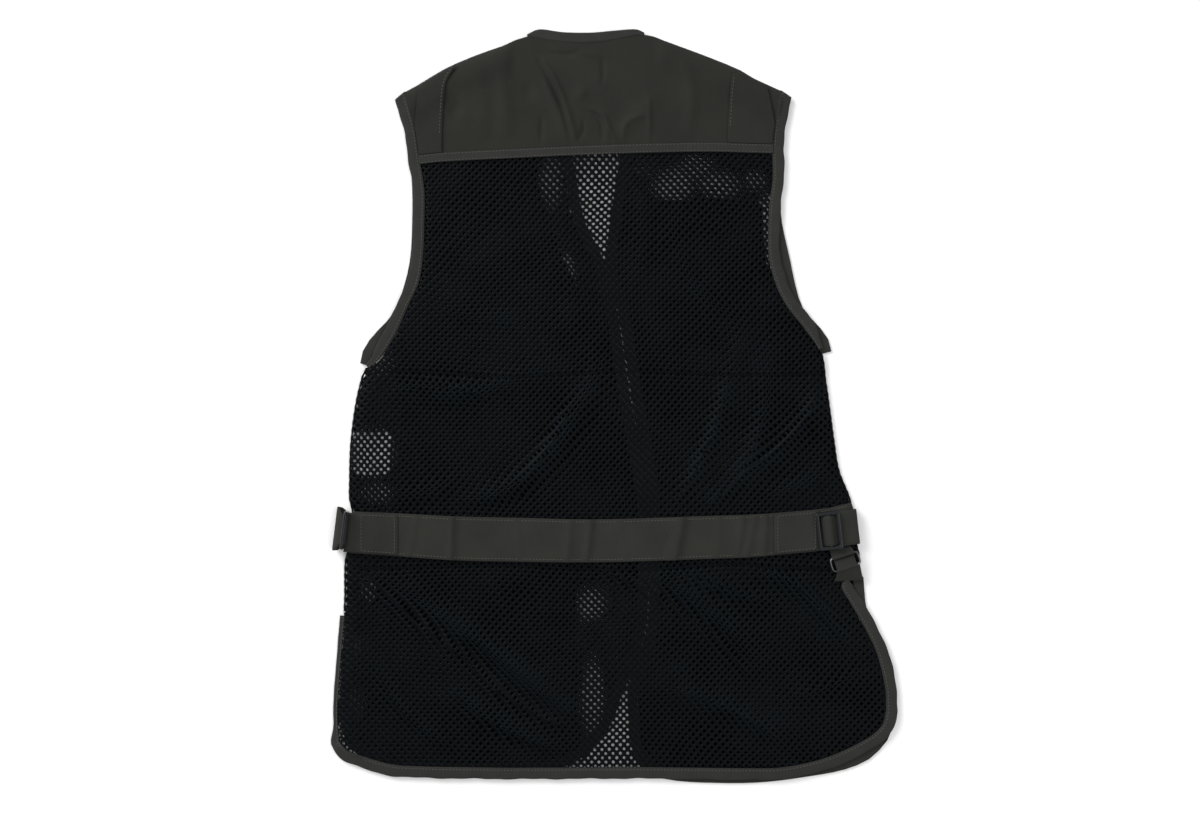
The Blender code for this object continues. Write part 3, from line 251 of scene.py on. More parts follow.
def cloth_look(name, colour, thread, spread, sheen, turn=0.0, gloss=0.14):
    """Plain-woven cloth: threads over and under, worn blotches, and a little lint."""
    look = Look(name)
    x, y = look.plan()
    across = x * math.cos(turn) + y * math.sin(turn)
    down = y * math.cos(turn) - x * math.sin(turn)
    weave = across.wave(thread) * down.wave(thread)
    ribs = down.wave(thread / 2) * 0.25
    blotches = look.noise(28.0, 4.0)
    grain = look.noise(900.0, 2.0)
    specks = ((look.noise(420.0, 2.0, 0.7) - 0.66) * 14.0).clamped()
    tone = (blotches - 0.5) * spread + (grain - 0.5) * 0.5 + weave * 0.10 + 0.5
    base = look.shades(tone.clamped(), colour, 0.72, 1.34)
    return look.finish(
        Base_Color=look.blend(specks * 0.35, base, shade(colour, 2.4)), Roughness=blotches * 0.12 + 0.80,
        Normal=look.bump(weave * 0.5 + ribs + grain * 0.5, 0.55, 0.00022), Specular_IOR_Level=gloss,
        Sheen_Weight=sheen, Sheen_Roughness=0.5,
    )


def tape_look(name, colour):
    """Folded cloth binding with fine ribs and pulled places."""
    look = Look(name)
    x, y = look.plan()
    ribs = (x + y).wave(0.8) * (x - y).wave(0.8)
    blotches = look.noise(60.0, 4.0)
    grain = look.noise(1100.0, 2.0)
    tone = (blotches - 0.5) * 0.9 + (grain - 0.5) * 0.5 + ribs * 0.08 + 0.5
    return look.finish(
        Base_Color=look.shades(tone.clamped(), colour, 0.70, 1.36), Roughness=blotches * 0.14 + 0.76,
        Normal=look.bump(ribs * 0.6 + grain * 0.5 + blotches * 1.5, 0.5, 0.00025), Specular_IOR_Level=0.16,
        Sheen_Weight=0.05,
    )


def net_look(name, colour):
    """Knitted net of shiny black yarn, with painted highlight where it rises in folds and painted shade where
    it sinks.
    """
    look = Look(name)
    x, y = look.plan()
    knit = (x.wave(0.45) + y.wave(0.6)) * 0.5
    blotches = look.noise(40.0, 5.0)
    grain = look.noise(350.0, 3.0)
    # Painted shade and highlight: the height of the folds, darker in their troughs and lighter on their
    # ridges.
    painted_fold_shading = look.node("ShaderNodeAttribute", {}, 2, attribute_name="painted_fold_shading")
    tone = (blotches - 0.5) * 0.9 + (grain - 0.5) * 0.8 + knit * 0.10 + painted_fold_shading * 0.12 + 0.42
    return look.finish(
        Base_Color=look.shades(tone.clamped(), colour, 0.4, 2.2), Roughness=grain * 0.2 + 0.36,
        Normal=look.bump(knit * 0.6 + grain * 0.4, 0.4, 0.0002), Specular_IOR_Level=0.055,
    )


def plastic_look(name, colour):
    """Glossy moulded plastic with fine scratches."""
    look = Look(name)
    haze = look.noise(240.0, 3.0)
    scratches = look.noise(1500.0, 1.0)
    return look.finish(
        Base_Color=look.shades(haze, colour, 0.85, 1.2), Roughness=haze * 0.10 + scratches * 0.08 + 0.14,
        Normal=look.bump(haze, 0.08, 0.0003), Specular_IOR_Level=0.35, Coat_Weight=0.05,
    )


def metal_look(name, colour):
    """Dark plated wire, rubbed lighter here and there."""
    look = Look(name)
    rubbed = look.noise(300.0, 3.0)
    return look.finish(
        Base_Color=look.shades(rubbed, colour, 0.8, 1.3), Roughness=rubbed * 0.2 + 0.18, Metallic=1.0,
        Normal=look.bump(rubbed, 0.1, 0.0002),
    )


def thread_look(name, colour):
    """Sewing thread."""
    look = Look(name)
    x, y = look.plan()
    grain = look.noise(1300.0, 2.0)
    return look.finish(
        Base_Color=look.shades(grain, colour, 0.8, 1.25), Roughness=grain * 0.2 + 0.6,
        Normal=look.bump((x + y).wave(0.3), 0.3, 0.0001),
    )


def floor_look(name):
    """Plain white table paper."""
    look = Look(name)
    base = look.blend(look.noise(3.0, 2.0), (0.93, 0.93, 0.93, 1.0), (0.95, 0.95, 0.95, 1.0))
    return look.finish(Base_Color=base, Roughness=0.9, Specular_IOR_Level=0.1)


YOKE_CLOTH = cloth_look("yoke_cloth", (0.0165, 0.0170, 0.0142), 0.9, 1.0, 0.03)
PATCH_CLOTH = cloth_look("patch_cloth", (0.0168, 0.0172, 0.0147), 0.9, 1.0, 0.03, 0.6)
FRONT_CLOTH = cloth_look("front_cloth", (0.0016, 0.0018, 0.0018), 0.9, 0.8, 0.0, 0.0, 0.02)
BELT_CLOTH = cloth_look("belt_cloth", (0.0205, 0.0208, 0.0182), 1.0, 1.1, 0.03)
BINDING_TAPE = tape_look("binding_tape", (0.0212, 0.0215, 0.0197))
BACK_NET = net_look("back_net", (0.0010, 0.0018, 0.0025))
FRONT_NET = net_look("front_net", (0.0008, 0.0014, 0.0020))
BUCKLE_PLASTIC = plastic_look("buckle_plastic", (0.006, 0.007, 0.009))
RING_METAL = metal_look("ring_metal", (0.085, 0.088, 0.092))
THREAD = thread_look("thread", (0.056, 0.056, 0.049))
FLOOR_PAPER = floor_look("floor_paper")

# Plans and levels of the back


def axes(points):
    """x and y of points."""
    return points[..., 0], points[..., 1]


def ease(value, start, end):
    """Smooth step from 0 at start to 1 at end."""
    share = np.clip((value - start) / (end - start), 0.0, 1.0)
    return share * share * (3.0 - 2.0 * share)


def rounding(distance, radius):
    """Height share of a round edge of a radius, at distances from the edge."""
    share = np.clip(distance / radius, 0.0, 1.0)
    return np.sqrt(1.0 - (1.0 - share) ** 2)


def inside_oval(x, y, place):
    """Share that falls from 1 inside an oval place to 0 outside it."""
    return np.exp(-((((x - place[0]) / place[2]) ** 2 + ((y - place[1]) / place[3]) ** 2) ** 2))


def curve(points, parts=8):
    """Dense points on a smooth curve through the given ones."""
    knots = np.array(points, dtype=float)[:, :2]
    knots = np.vstack([2 * knots[0] - knots[1], knots, 2 * knots[-1] - knots[-2]])
    dense = []
    for before, start, end, after in zip(knots, knots[1:], knots[2:], knots[3:]):
        square = 2 * before - 5 * start + 4 * end - after
        cube = 3 * start - before - 3 * end + after
        for part in range(parts):
            t = part / parts
            dense.append(0.5 * (2 * start + (end - before) * t + square * t ** 2 + cube * t ** 3))
    dense.append(knots[-2])
    return np.array(dense)


def run(line):
    """Length along a line at each of its points."""
    return np.concatenate([[0.0], np.cumsum(np.hypot(*np.diff(line[:, :2], axis=0).T))])


def along(line, shares):
    """Points at shares of a line's length."""
    length = run(line)
    spots = np.asarray(shares) * length[-1]
    return np.column_stack([np.interp(spots, length, line[:, axis]) for axis in range(line.shape[1])])


def even(line, spacing):
    """The line again, with points about spacing apart."""
    return along(line, np.linspace(0.0, 1.0, max(2, round(run(line)[-1] / spacing)) + 1))


def shift(line, distance):
    """A line moved by distance to the right of its way."""
    way = np.gradient(line[:, :2], axis=0)
    way /= np.hypot(*way.T)[:, None]
    return line[:, :2] + np.column_stack([way[:, 1], -way[:, 0]]) * np.reshape(distance, (-1, 1))


def side_x(line, y):
    """x of a line that runs down, at each y."""
    return np.interp(-np.asarray(y, dtype=float), -line[:, 1], line[:, 0])


def top_y(line, x):
    """y of a line that runs to the right, at each x."""
    return np.interp(x, line[:, 0], line[:, 1])


LEFT = curve(SIDE_LEFT)
RIGHT = curve(SIDE_RIGHT)
TOP = along(curve(YOKE_TOP), np.linspace(0.0, 1.0, 27))
HEM = curve(HEM_LINE)
SEAM = curve(YOKE_SEAM)
SHOULDER_LEFT = curve(YOKE_LEFT)
SHOULDER_RIGHT = curve(YOKE_RIGHT)
BELT_TOP = curve([row[:2] for row in BELT_EDGES])
BELT_BOTTOM = curve([row[2:] for row in BELT_EDGES])
# Spacing, lowest x and y, and counts of the places where the folds' height is worked out
RASTER = 2.0
RASTER_LOW = (-320.0, -420.0)
RASTER_SIZE = (321, 411)


def fold_raster():
    """Height that folds and creases add, on an even raster of places."""
    xs = RASTER_LOW[0] + RASTER * np.arange(RASTER_SIZE[0])
    ys = RASTER_LOW[1] + RASTER * np.arange(RASTER_SIZE[1])
    rise = np.zeros((len(ys), len(xs)))
    for x1, y1, x2, y2, x3, y3, half_width, height in BACK_FOLDS + CREASES:
        start, middle, end = np.array((x1, y1)), np.array((x2, y2)), np.array((x3, y3))
        control = 2 * middle - (start + end) / 2
        t = np.linspace(0.0, 1.0, CREASE_PARTS + 1)[:, None]
        path = start * (1 - t) ** 2 + control * 2 * t * (1 - t) + end * t ** 2
        reach = 3.5 * half_width
        columns = np.where((xs > path[:, 0].min() - reach) & (xs < path[:, 0].max() + reach))[0]
        rows = np.where((ys > path[:, 1].min() - reach) & (ys < path[:, 1].max() + reach))[0]
        x, y = np.meshgrid(xs[columns], ys[rows])
        nearest = np.full(x.shape, 1e9)
        share = np.zeros(x.shape)
        for index, (first, last) in enumerate(zip(path, path[1:])):
            span = last - first
            part = np.clip(((x - first[0]) * span[0] + (y - first[1]) * span[1]) / (span @ span), 0.0, 1.0)
            distance = np.hypot(x - first[0] - part * span[0], y - first[1] - part * span[1])
            closer = distance < nearest
            nearest = np.where(closer, distance, nearest)
            share = np.where(closer, (index + part) / CREASE_PARTS, share)
        taper = 0.35 + 0.65 * np.sin(np.pi * share)
        rise[np.ix_(rows, columns)] += height * taper * np.exp(-((nearest / half_width) ** 2))
    return rise


RISE = fold_raster()
# y where the belt and the yoke seam start and stop to press the folds flat
BELT_PRESS = ((-172.0, -156.0), (-106.0, -90.0))
SEAM_PRESS = ((236.0, 248.0), (264.0, 276.0))


def fold_rise(x, y):
    """Height that the folds add at places, less under the belt and at the yoke seam."""
    u = np.clip((x - RASTER_LOW[0]) / RASTER, 0.0, RASTER_SIZE[0] - 1.001)
    v = np.clip((y - RASTER_LOW[1]) / RASTER, 0.0, RASTER_SIZE[1] - 1.001)
    i, j = u.astype(int), v.astype(int)
    u, v = u - i, v - j
    low = RISE[j, i] * (1 - u) + RISE[j, i + 1] * u
    high = RISE[j + 1, i] * (1 - u) + RISE[j + 1, i + 1] * u
    belt = ease(y, *BELT_PRESS[0]) * (1 - ease(y, *BELT_PRESS[1]))
    seam = ease(y, *SEAM_PRESS[0]) * (1 - ease(y, *SEAM_PRESS[1]))
    waves = 0.22 * np.sin(x / 13.0 + np.sin(y / 29.0)) * np.sin(y / 17.0 + np.sin(x / 23.0))
    return (low * (1 - v) + high * v + waves) * (1 - 0.75 * belt) * (1 - 0.4 * seam)


# How strongly a fold gathers the net, in mm for each mm of rise, and the greatest rise that counts
GATHER = 1.5
STEEPEST = 1.2


def net_drift(x, y):
    """How far the slack net has crept sideways at places: in long waves, and in towards its folds."""
    step = 3.0
    uphill_x = np.clip(fold_rise(x + step, y) - fold_rise(x - step, y), -STEEPEST, STEEPEST)
    uphill_y = np.clip(fold_rise(x, y + step) - fold_rise(x, y - step), -STEEPEST, STEEPEST)
    wave_x = 1.5 * np.sin(y / 37.0 + 1.1 * np.sin(x / 61.0)) + 1.1 * np.sin(x / 19.0 + y / 27.0)
    wave_y = 1.5 * np.sin(x / 43.0 + 1.3 * np.sin(y / 71.0)) + 1.1 * np.sin(y / 21.0 - x / 33.0)
    loose = ease(np.min(back_room(x, y), axis=0), 2.0, 26.0)
    return loose * (wave_x + GATHER * uphill_x), loose * (wave_y + GATHER * uphill_y)


def back_room(x, y):
    """How far the back's net reaches from places to the left, right, down and up."""
    return (
        x - side_x(LEFT, y) - EDGE_ROOM, side_x(RIGHT, y) - x - EDGE_ROOM,
        y - top_y(HEM, x) - EDGE_ROOM, top_y(SEAM, x) - SEAM_ROOM - y,
    )


def fold_edges(x, y):
    """Distance to each rounded edge of the back, with how far the back turns down there."""
    below = y <= 200.0
    left = (x - side_x(LEFT, y), below * ease(-y, -40.0, -18.0))
    right = (side_x(RIGHT, y) - x, below * ease(-y, -46.0, -26.0) * (1 - ease(-y, 140.0, 166.0)))
    neck = np.maximum(1.0, np.abs(x - MIDDLE) - 64.0)
    shoulder = ((top_y(TOP, x) - y) * 0.9, (~below) * ease(neck, 4.0, 16.0))
    return left, right, shoulder


def back_height(x, y):
    """Underside of the back panels above the floor."""
    x, y = np.asarray(x, dtype=float), np.asarray(y, dtype=float)
    edges = fold_edges(x, y)
    level = REST + fold_rise(x, y)
    for distance, turned in edges:
        level = level + turned * SWELL[0] * np.exp(-((distance - SWELL[1]) / SWELL[2]) ** 2)
    for distance, turned in edges:
        round_level = FOOT + (level - FOOT) * rounding(distance, FOLD_RADIUS)
        level = level + turned * (round_level - level)
    return level


def over_back(x, y):
    """Height just above the back panels near places."""
    spots = ((0.0, 0.0), (-NEAR, 0.0), (NEAR, 0.0), (0.0, -NEAR), (0.0, NEAR))
    return np.max([back_height(x + a, y + b) for a, b in spots], axis=0) + MESH_WALL + GAP


def belt_height(x, y):
    """Underside of the belt, with its soft creases."""
    rise = sum(height * np.exp(-(((x - middle) / width) ** 2)) for middle, height, width in BELT_CREASES)
    return over_back(x, y) + BELT_MARGIN + rise


def on_belt(x, y):
    """Height just above the belt near places."""
    near = [belt_height(x + step, y) for step in (-NEAR, 0.0, NEAR)]
    return np.max(near, axis=0) + BELT_WALL + GAP


# Meshes


def new_object(name, points, faces, look, smooth=True):
    """Object from points in millimetres of the plan, set off as the solids are."""
    points = np.asarray(points, dtype=float).copy()
    points[:, 0] += OFFSET[0]
    points[:, 1] += OFFSET[1]
    mesh = bpy.data.meshes.new(name)
    mesh.from_pydata((points * MM).tolist(), [], faces.tolist() if isinstance(faces, np.ndarray) else faces)
    mesh.polygons.foreach_set("use_smooth", [smooth] * len(mesh.polygons))
    mesh.materials.append(look)
    piece = bpy.data.objects.new(name, mesh)
    bpy.context.scene.collection.objects.link(piece)
    return piece


def face_outward(piece):
    mesh = bmesh.new()
    mesh.from_mesh(piece.data)
    bmesh.ops.recalc_face_normals(mesh, faces=mesh.faces)
    mesh.to_mesh(piece.data)
    mesh.free()


def closed_sheet(name, lower, upper, look):
    """Closed sheet between two grids of points."""
    rows, columns = lower.shape[:2]
    count = rows * columns
    index = np.arange(count).reshape(rows, columns)
    quads = np.stack([index[:-1, :-1], index[1:, :-1], index[1:, 1:], index[:-1, 1:]], axis=-1).reshape(-1, 4)
    rim = np.concatenate([index[0, :-1], index[:-1, -1], index[-1, :0:-1], index[:0:-1, 0]])
    after = np.roll(rim, -1)
    walls = np.stack([rim, after, after + count, rim + count], axis=-1)
    faces = np.concatenate([quads[:, ::-1], quads + count, walls])
    piece = new_object(name, np.concatenate([lower.reshape(-1, 3), upper.reshape(-1, 3)]), faces, look)
    face_outward(piece)
    return piece


def rim_shares(length, spacing, edge):
    """Shares along a length, with close lines at both ends where the edge is round."""
    count = max(1, round((length - 2 * edge) / spacing))
    middle = np.linspace(edge, length - edge, count + 1)
    ends = np.array([0.0, 0.12, 0.45]) * edge
    return np.concatenate([ends, middle, length - ends[::-1]]) / length


def edge_distance(grid):
    """Distance of each point of a grid to the nearest edge of the grid."""
    reach = []
    for lines in (grid, grid.transpose(1, 0, 2)):
        steps = np.hypot(*np.moveaxis(np.diff(lines, axis=1), -1, 0))
        length = np.concatenate([np.zeros((len(lines), 1)), np.cumsum(steps, axis=1)], axis=1)
        reach.append(np.minimum(length, length[:, -1:] - length))
    return np.minimum(reach[0], reach[1].T)


# Share of a cloth's wall where its two rounded sides meet at the edge
EDGE_LEVEL = 0.4


def cloth(name, grid, under, wall, look, edge=1.0, puff=0.0):
    """Sheet of cloth on a grid of plan points, with rounded edges."""
    round_share = rounding(edge_distance(grid), edge)
    under = np.broadcast_to(under, grid.shape[:2])
    low = under + wall * EDGE_LEVEL * (1 - round_share)
    high = under + wall * (EDGE_LEVEL + (1 - EDGE_LEVEL) * round_share) + puff
    return closed_sheet(name, np.dstack([grid, low]), np.dstack([grid, high]), look)


def strip(line, inner, outer, spacing, edge=0.9):
    """Grid across a line, from a distance on its left to one on its right."""
    line = along(line, rim_shares(run(line)[-1], spacing, edge))
    across = rim_shares(outer - inner, 1.5, edge)
    return np.array([shift(line, inner + (outer - inner) * share) for share in across])


def coons(top, bottom, left, right, down, across):
    """Grid between four edge curves, at shares down and across."""
    u = np.asarray(across)[None, :, None]
    v = np.asarray(down)[:, None, None]
    starts = side_points(left, down)[:, None, :]
    ends = side_points(right, down)[:, None, :]
    highs = along(top, across)[None]
    lows = along(bottom, across)[None]
    corners = (top[0] * (1 - u) + top[-1] * u) * (1 - v) + (bottom[0] * (1 - u) + bottom[-1] * u) * v
    return starts * (1 - u) + ends * u + highs * (1 - v) + lows * v - corners


def side_points(line, down):
    """Points of a side line at shares of its drop."""
    y = line[0, 1] + (line[-1, 1] - line[0, 1]) * np.asarray(down)
    return np.column_stack([side_x(line, y), y])


# Net

# Corners of a cell and of its hole from the cell's middle
CELL = ((0.0, 3.5945), (3.585, 0.2655), (3.585, -0.2655), (0.0, -3.5945), (-3.585, -0.2655), (-3.585, 0.2655))
HOLE = ((0.0, 1.68), (1.44, 0.8), (1.44, -0.8), (0.0, -1.68), (-1.44, -0.8), (-1.44, 0.8))
MOST_COLUMNS = 42
# A cell is made where its middle lies this far inside the net
LEAST_ROOM = 0.3
HALF_CELL = 3.6
# Lower and upper edge of a hole, as shares of the net's thickness
HOLE_LEVELS = (0.28, 0.72)


def net(name, rows, room, height, look, open_share, drift):
    """Net with a hole in every cell. room gives how far the net reaches from places to each side."""
    cells = []
    columns = np.arange(-MOST_COLUMNS, MOST_COLUMNS + 1)
    for row in rows:
        halves = columns * 2 + row % 2
        rows_here = np.full(len(halves), row)
        cells.append(np.column_stack([halves * PITCH / 2, rows_here * ROW, halves, rows_here]))
    cells = np.concatenate(cells)
    reach = np.array(room(*axes(cells)))
    kept = reach.min(axis=0) > LEAST_ROOM
    cells = cells[kept]
    left, right, down, up = reach[:, kept]
    # Corners of a cell in half pitches and thirds of a row, so that neighbours share them
    corner_keys = ((0, 1, 1), (1, 0, 1), (1, 0, -1), (0, -1, -1), (-1, 0, -1), (-1, 0, 1))
    keys, spots = [], []
    for (step, jump, kind), (a, b) in zip(corner_keys, CELL):
        if jump:
            key = np.column_stack([cells[:, 2], cells[:, 3] * 3 + 2 * jump])
        else:
            key = np.column_stack([cells[:, 2] + step, cells[:, 3] * 3 + kind])
        keys.append(key)
        x = cells[:, 0] + np.clip(a, -left, right)
        y = cells[:, 1] + np.clip(b, -down, up)
        spots.append(np.column_stack([x, y]))
    keys = np.concatenate(keys).astype(int)
    first, inverse = np.unique(keys, axis=0, return_index=True, return_inverse=True)[1:]
    outer = np.concatenate(spots)[first]
    ring = inverse.reshape(6, len(cells)).T
    wide = open_share(*axes(cells))
    inner = []
    for a, b in HOLE:
        x = cells[:, 0] + a * wide * np.clip((right if a > 0 else left) / HALF_CELL, 0.0, 1.0)
        y = cells[:, 1] + b * wide * np.clip((up if b > 0 else down) / HALF_CELL, 0.0, 1.0)
        inner.append(np.column_stack([x, y]))
    inner = np.array(inner).transpose(1, 0, 2).reshape(-1, 2)
    for spots in (outer, inner):
        spots += np.column_stack(drift(*axes(spots)))
    many, few = len(outer), len(inner)
    points = []
    for plan, levels in ((outer, (0.0, 1.0)), (inner, HOLE_LEVELS)):
        low = height(*axes(plan)) + (MESH_WALL - NET_THICKNESS) / 2
        points += [np.column_stack([plan, low + NET_THICKNESS * level]) for level in levels]
    inside = np.arange(few).reshape(-1, 6)
    faces = []
    for k in range(6):
        m = (k + 1) % 6
        a, b, c, d = ring[:, k], ring[:, m], inside[:, m], inside[:, k]
        faces.append(np.column_stack([a, b, c + 2 * many, d + 2 * many]))
        faces.append(np.column_stack([b + many, a + many, d + 2 * many + few, c + 2 * many + few]))
        faces.append(np.column_stack([d + 2 * many, c + 2 * many, c + 2 * many + few, d + 2 * many + few]))
    pairs = np.concatenate([np.column_stack([ring[:, k], ring[:, (k + 1) % 6]]) for k in range(6)])
    code = np.sort(pairs, axis=1) @ np.array([many, 1])
    single = np.isin(code, np.unique(code)[np.unique(code, return_counts=True)[1] == 1])
    rim = pairs[single]
    faces.append(np.column_stack([rim[:, 1], rim[:, 0], rim[:, 0] + many, rim[:, 1] + many]))
    return new_object(name, np.concatenate(points), np.concatenate(faces), look)


# Pieces


def carried(node):
    """Object of a solid that came with the frame."""
    return bpy.data.objects[node]


def dress(piece, node):
    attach(piece, "root")
    if node:
        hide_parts(node)


LEAST_WIDTH = 10.0


def lay(piece, node, width, length, area=None):
    """Attach a sheet of cloth that lies to the root and hide its solid. Its cut in millimetres is worked out
    but not used.
    """
    dress(piece, node)
    size = (max(width, LEAST_WIDTH) * MM, length * MM)
    facts = {} if area is None else {"area": min(area * MM * MM, size[0] * size[1])}


def grid_area(grid):
    """Plan area of a grid of points."""
    a, b = grid[1:, 1:] - grid[:-1, :-1], grid[1:, :-1] - grid[:-1, 1:]
    return float(np.abs(a[..., 0] * b[..., 1] - a[..., 1] * b[..., 0]).sum() / 2)


def lay_panel(piece, node, grid):
    width, length = np.ptp(grid.reshape(-1, 2), axis=0)
    lay(piece, node, width, length, grid_area(grid))


# Net of the back, in three lengths

# Columns x, y, half width across, half width down: where the light comes through the back's net
LIT_PLACES = (
    (-14, 205, 34, 62), (6, -322, 46, 44), (-240, -60, 34, 52), (90, 226, 70, 34), (-22, -196, 22, 26),
    (-20, -282, 16, 44), (20, 50, 18, 46), (-60, 226, 18, 30), (-47, 134, 15, 24), (152, 176, 14, 44),
)
LIT_SHARE = 0.94


def back_holes(x, y):
    """Share of the full hole that is open at places of the back: less where the net lies slack."""
    waves = np.sin(x / 33.0 + 1.7 * np.sin(y / 47.0)) * np.sin(y / 29.0 + 1.3 * np.sin(x / 41.0))
    short = np.sin(x / 11.0 + 1.1 * np.sin(y / 17.0)) * np.sin(y / 9.0 + 1.2 * np.sin(x / 15.0))
    scatter = np.sin(x * 12.9898 + y * 78.233) * 43758.5453
    slack = 0.80 + 0.20 * waves + 0.10 * short
    lit = np.max([inside_oval(x, y, place) for place in LIT_PLACES], axis=0)
    return slack + (LIT_SHARE - slack) * lit + 0.16 * (scatter - np.floor(scatter) - 0.5)


# Name, first row of cells and the one after the last
NET_ROWS = (("back_net_lower", -95, -41), ("back_net_middle", -41, 9), ("back_net_upper", 9, 68))


def make_back_net():
    for name, first, last in NET_ROWS:
        piece = net(name, range(first, last), back_room, back_height, BACK_NET, back_holes, net_drift)
        points = np.array([v.co[:] for v in piece.data.vertices]) / MM
        # The folds' height, kept on the net for the painted shade in troughs and the painted highlight on
        # ridges.
        painted_fold_shading = piece.data.attributes.new("painted_fold_shading", "FLOAT", "POINT")
        painted_fold_shading.data.foreach_set("value", fold_rise(*axes(points[:, :2] - OFFSET)))
        low, high = points.min(axis=0), points.max(axis=0)
        levels = np.linspace(low[1], high[1], 60)
        area = float(np.mean(side_x(RIGHT, levels) - side_x(LEFT, levels)) * (high[1] - low[1]))
        lay(piece, "back_mesh", high[0] - low[0], high[1] - low[1], area)


def make_net_edges():
    """Yarn along both side folds, where the net turns down to the fronts."""
    for name, line, side, first, last in (
        ("net_fold_left", LEFT, 1.0, 40.0, -206.0), ("net_fold_right", RIGHT, -1.0, 57.0, -182.0),
    ):
        edge = even(line[(line[:, 1] < first) & (line[:, 1] > last)], 1.2)
        place = run(edge)
        across = rim_shares(2.6, 0.8, 0.7)
        scallop = 0.45 * np.abs(np.sin(place * np.pi / (2 * ROW))) - 0.35
        grid = np.array([shift(edge, side * (-1.9 + (2.2 + scallop) * share)) for share in across])
        piece = cloth(name, grid, back_height(*axes(grid)) + 0.1, 1.3, FRONT_NET, edge=0.7)
        lay(piece, "back_mesh", LEAST_WIDTH, place[-1], 3.05 * place[-1])


def make_yoke():
    across = rim_shares(376.0, 1.8, 1.0)
    down = rim_shares(112.0, 2.2, 1.0)
    seam = shift(SEAM, -SEAM_ROOM)
    left = np.vstack([SHOULDER_LEFT[:-1], seam[:1]])
    right = np.vstack([SHOULDER_RIGHT[:-1], seam[-1:]])
    grid = coons(TOP, seam, left, right, down, across)
    piece = cloth("yoke_cloth", grid, back_height(*axes(grid)), 1.5, YOKE_CLOTH)
    lay_panel(piece, "yoke", grid)


STITCH_INSET = 3.3
TAPE_WIDTH = 9.0


def make_yoke_tape():
    grid = strip(SEAM, -TAPE_WIDTH / 2, TAPE_WIDTH / 2, 2.6)
    pulls = 0.12 * np.sin(grid[..., 0] / 1.7) * (1 - np.abs(np.linspace(-1, 1, len(grid))))[:, None]
    piece = cloth("seam_tape", grid, over_back(*axes(grid)), 1.2, BINDING_TAPE, puff=pulls)
    length = run(SEAM)[-1]
    lay(piece, "yoke_tape", TAPE_WIDTH, length, TAPE_WIDTH * length)


PATCH_INSET = 1.5


def patch_sides():
    """Side edges of the two shoulder patches, down to the tape."""
    above = shift(SEAM, -TAPE_WIDTH / 2 - GAP)
    sides = []
    for line, inset in ((SHOULDER_LEFT, -PATCH_INSET), (SHOULDER_RIGHT, PATCH_INSET)):
        side = shift(line, inset)[8:]
        sides.append(side[side[:, 1] > top_y(above, side[:, 0]) + GAP])
    return above, sides


def make_patches():
    above, (left_side, right_side) = patch_sides()
    edges = (
        ("patch_left", "shoulder_patch_left", left_side, curve(PATCH_EDGE_LEFT)),
        ("patch_right", "shoulder_patch_right", curve(PATCH_EDGE_RIGHT), right_side),
    )
    for name, node, left, right in edges:
        x = np.linspace(left[-1, 0], right[-1, 0], 9)
        bottom = np.column_stack([x, top_y(above, x)])
        shoulder = shift(TOP, 2.0)[(TOP[:, 0] > left[0, 0]) & (TOP[:, 0] < right[0, 0])]
        top = along(np.vstack([left[:1], shoulder, right[:1]]), np.linspace(0.0, 1.0, 9))
        down = rim_shares(70.0, 2.6, 0.9)
        across = rim_shares(42.0, 2.6, 0.9)
        left, right = np.vstack([left, bottom[:1]]), np.vstack([right, bottom[-1:]])
        grid = coons(top, bottom, left, right, down, across)
        piece = cloth(name, grid, over_back(*axes(grid)) + 0.3, 1.0, PATCH_CLOTH, puff=0.15)
        lay_panel(piece, node, grid)


BINDING_WALL = 2.2
# Radius of a binding's round edges, and how much they take off below and above
BINDING_ROUND = 1.3
ROUND_BELOW = 0.8
ROUND_ABOVE = 1.0
LAP = 1.5
# A binding stands this high over the back, up to this far past its edge
LAP_RISE = 0.4
LAP_REACH = 0.6
SLANT_REACH = 14.0
ARM_SLANT = 0.45


def over_edge(x, y):
    """Level of a binding's fold where it laps over the back."""
    return back_height(x, y) + MESH_WALL + LAP_RISE


def folded_tape(name, grid, low, high):
    """Tape with round edges between two levels."""
    flat_share = 1 - rounding(edge_distance(grid), BINDING_ROUND)
    lower = np.dstack([grid, low + ROUND_BELOW * flat_share])
    upper = np.dstack([grid, high - ROUND_ABOVE * flat_share])
    return closed_sheet(name, lower, upper, BINDING_TAPE)


def bind(name, node, line, side, widths, levels, slant=0.0):
    """Folded binding along an edge. It laps over the edge by LAP and stands off it by its width."""
    place = run(line)
    shares = rim_shares(place[-1], 2.2, 0.9)
    dense = along(line, shares)
    spots = shares * place[-1]
    widths = np.interp(spots, place, np.broadcast_to(widths, len(line)))
    levels = np.interp(spots, place, np.broadcast_to(levels, len(line)))
    across = rim_shares(BINDING_WIDTH + LAP, 1.3, 1.2)
    wobble = 0.35 * np.sin(spots / 9.0) + 0.25 * np.sin(spots / 3.7 + 1.0)
    way = np.gradient(dense, axis=0)
    way /= np.hypot(*way.T)[:, None]
    near_start = np.clip(1.0 - spots / SLANT_REACH, 0.0, 1.0)
    rows, high = [], []
    for share in across:
        away = -LAP + (widths + LAP) * share + wobble * share * (widths / BINDING_WIDTH)
        row = shift(dense, side * away) + way * (slant * away * near_start)[:, None]
        top = levels + BINDING_WALL
        top = np.where(away < LAP_REACH, np.maximum(top, over_edge(*axes(row))), top)
        crown = 0.35 * np.sin(np.pi * share) + 0.10 * np.sin(spots / 1.6 + 2.0 * share)
        rows.append(row)
        high.append(top + crown)
    grid, high = np.array(rows), np.array(high)
    piece = folded_tape(name, grid, levels, high)
    width = float(np.mean(widths)) + LAP
    lay(piece, node, width, place[-1], width * place[-1] * 0.99)
    return grid, high


ARM_ENDS = (38.0, 56.0)
ARM_TAPER = 26.0
HEM_STARTS = (-205.0, -171.0)
BINDINGS = []


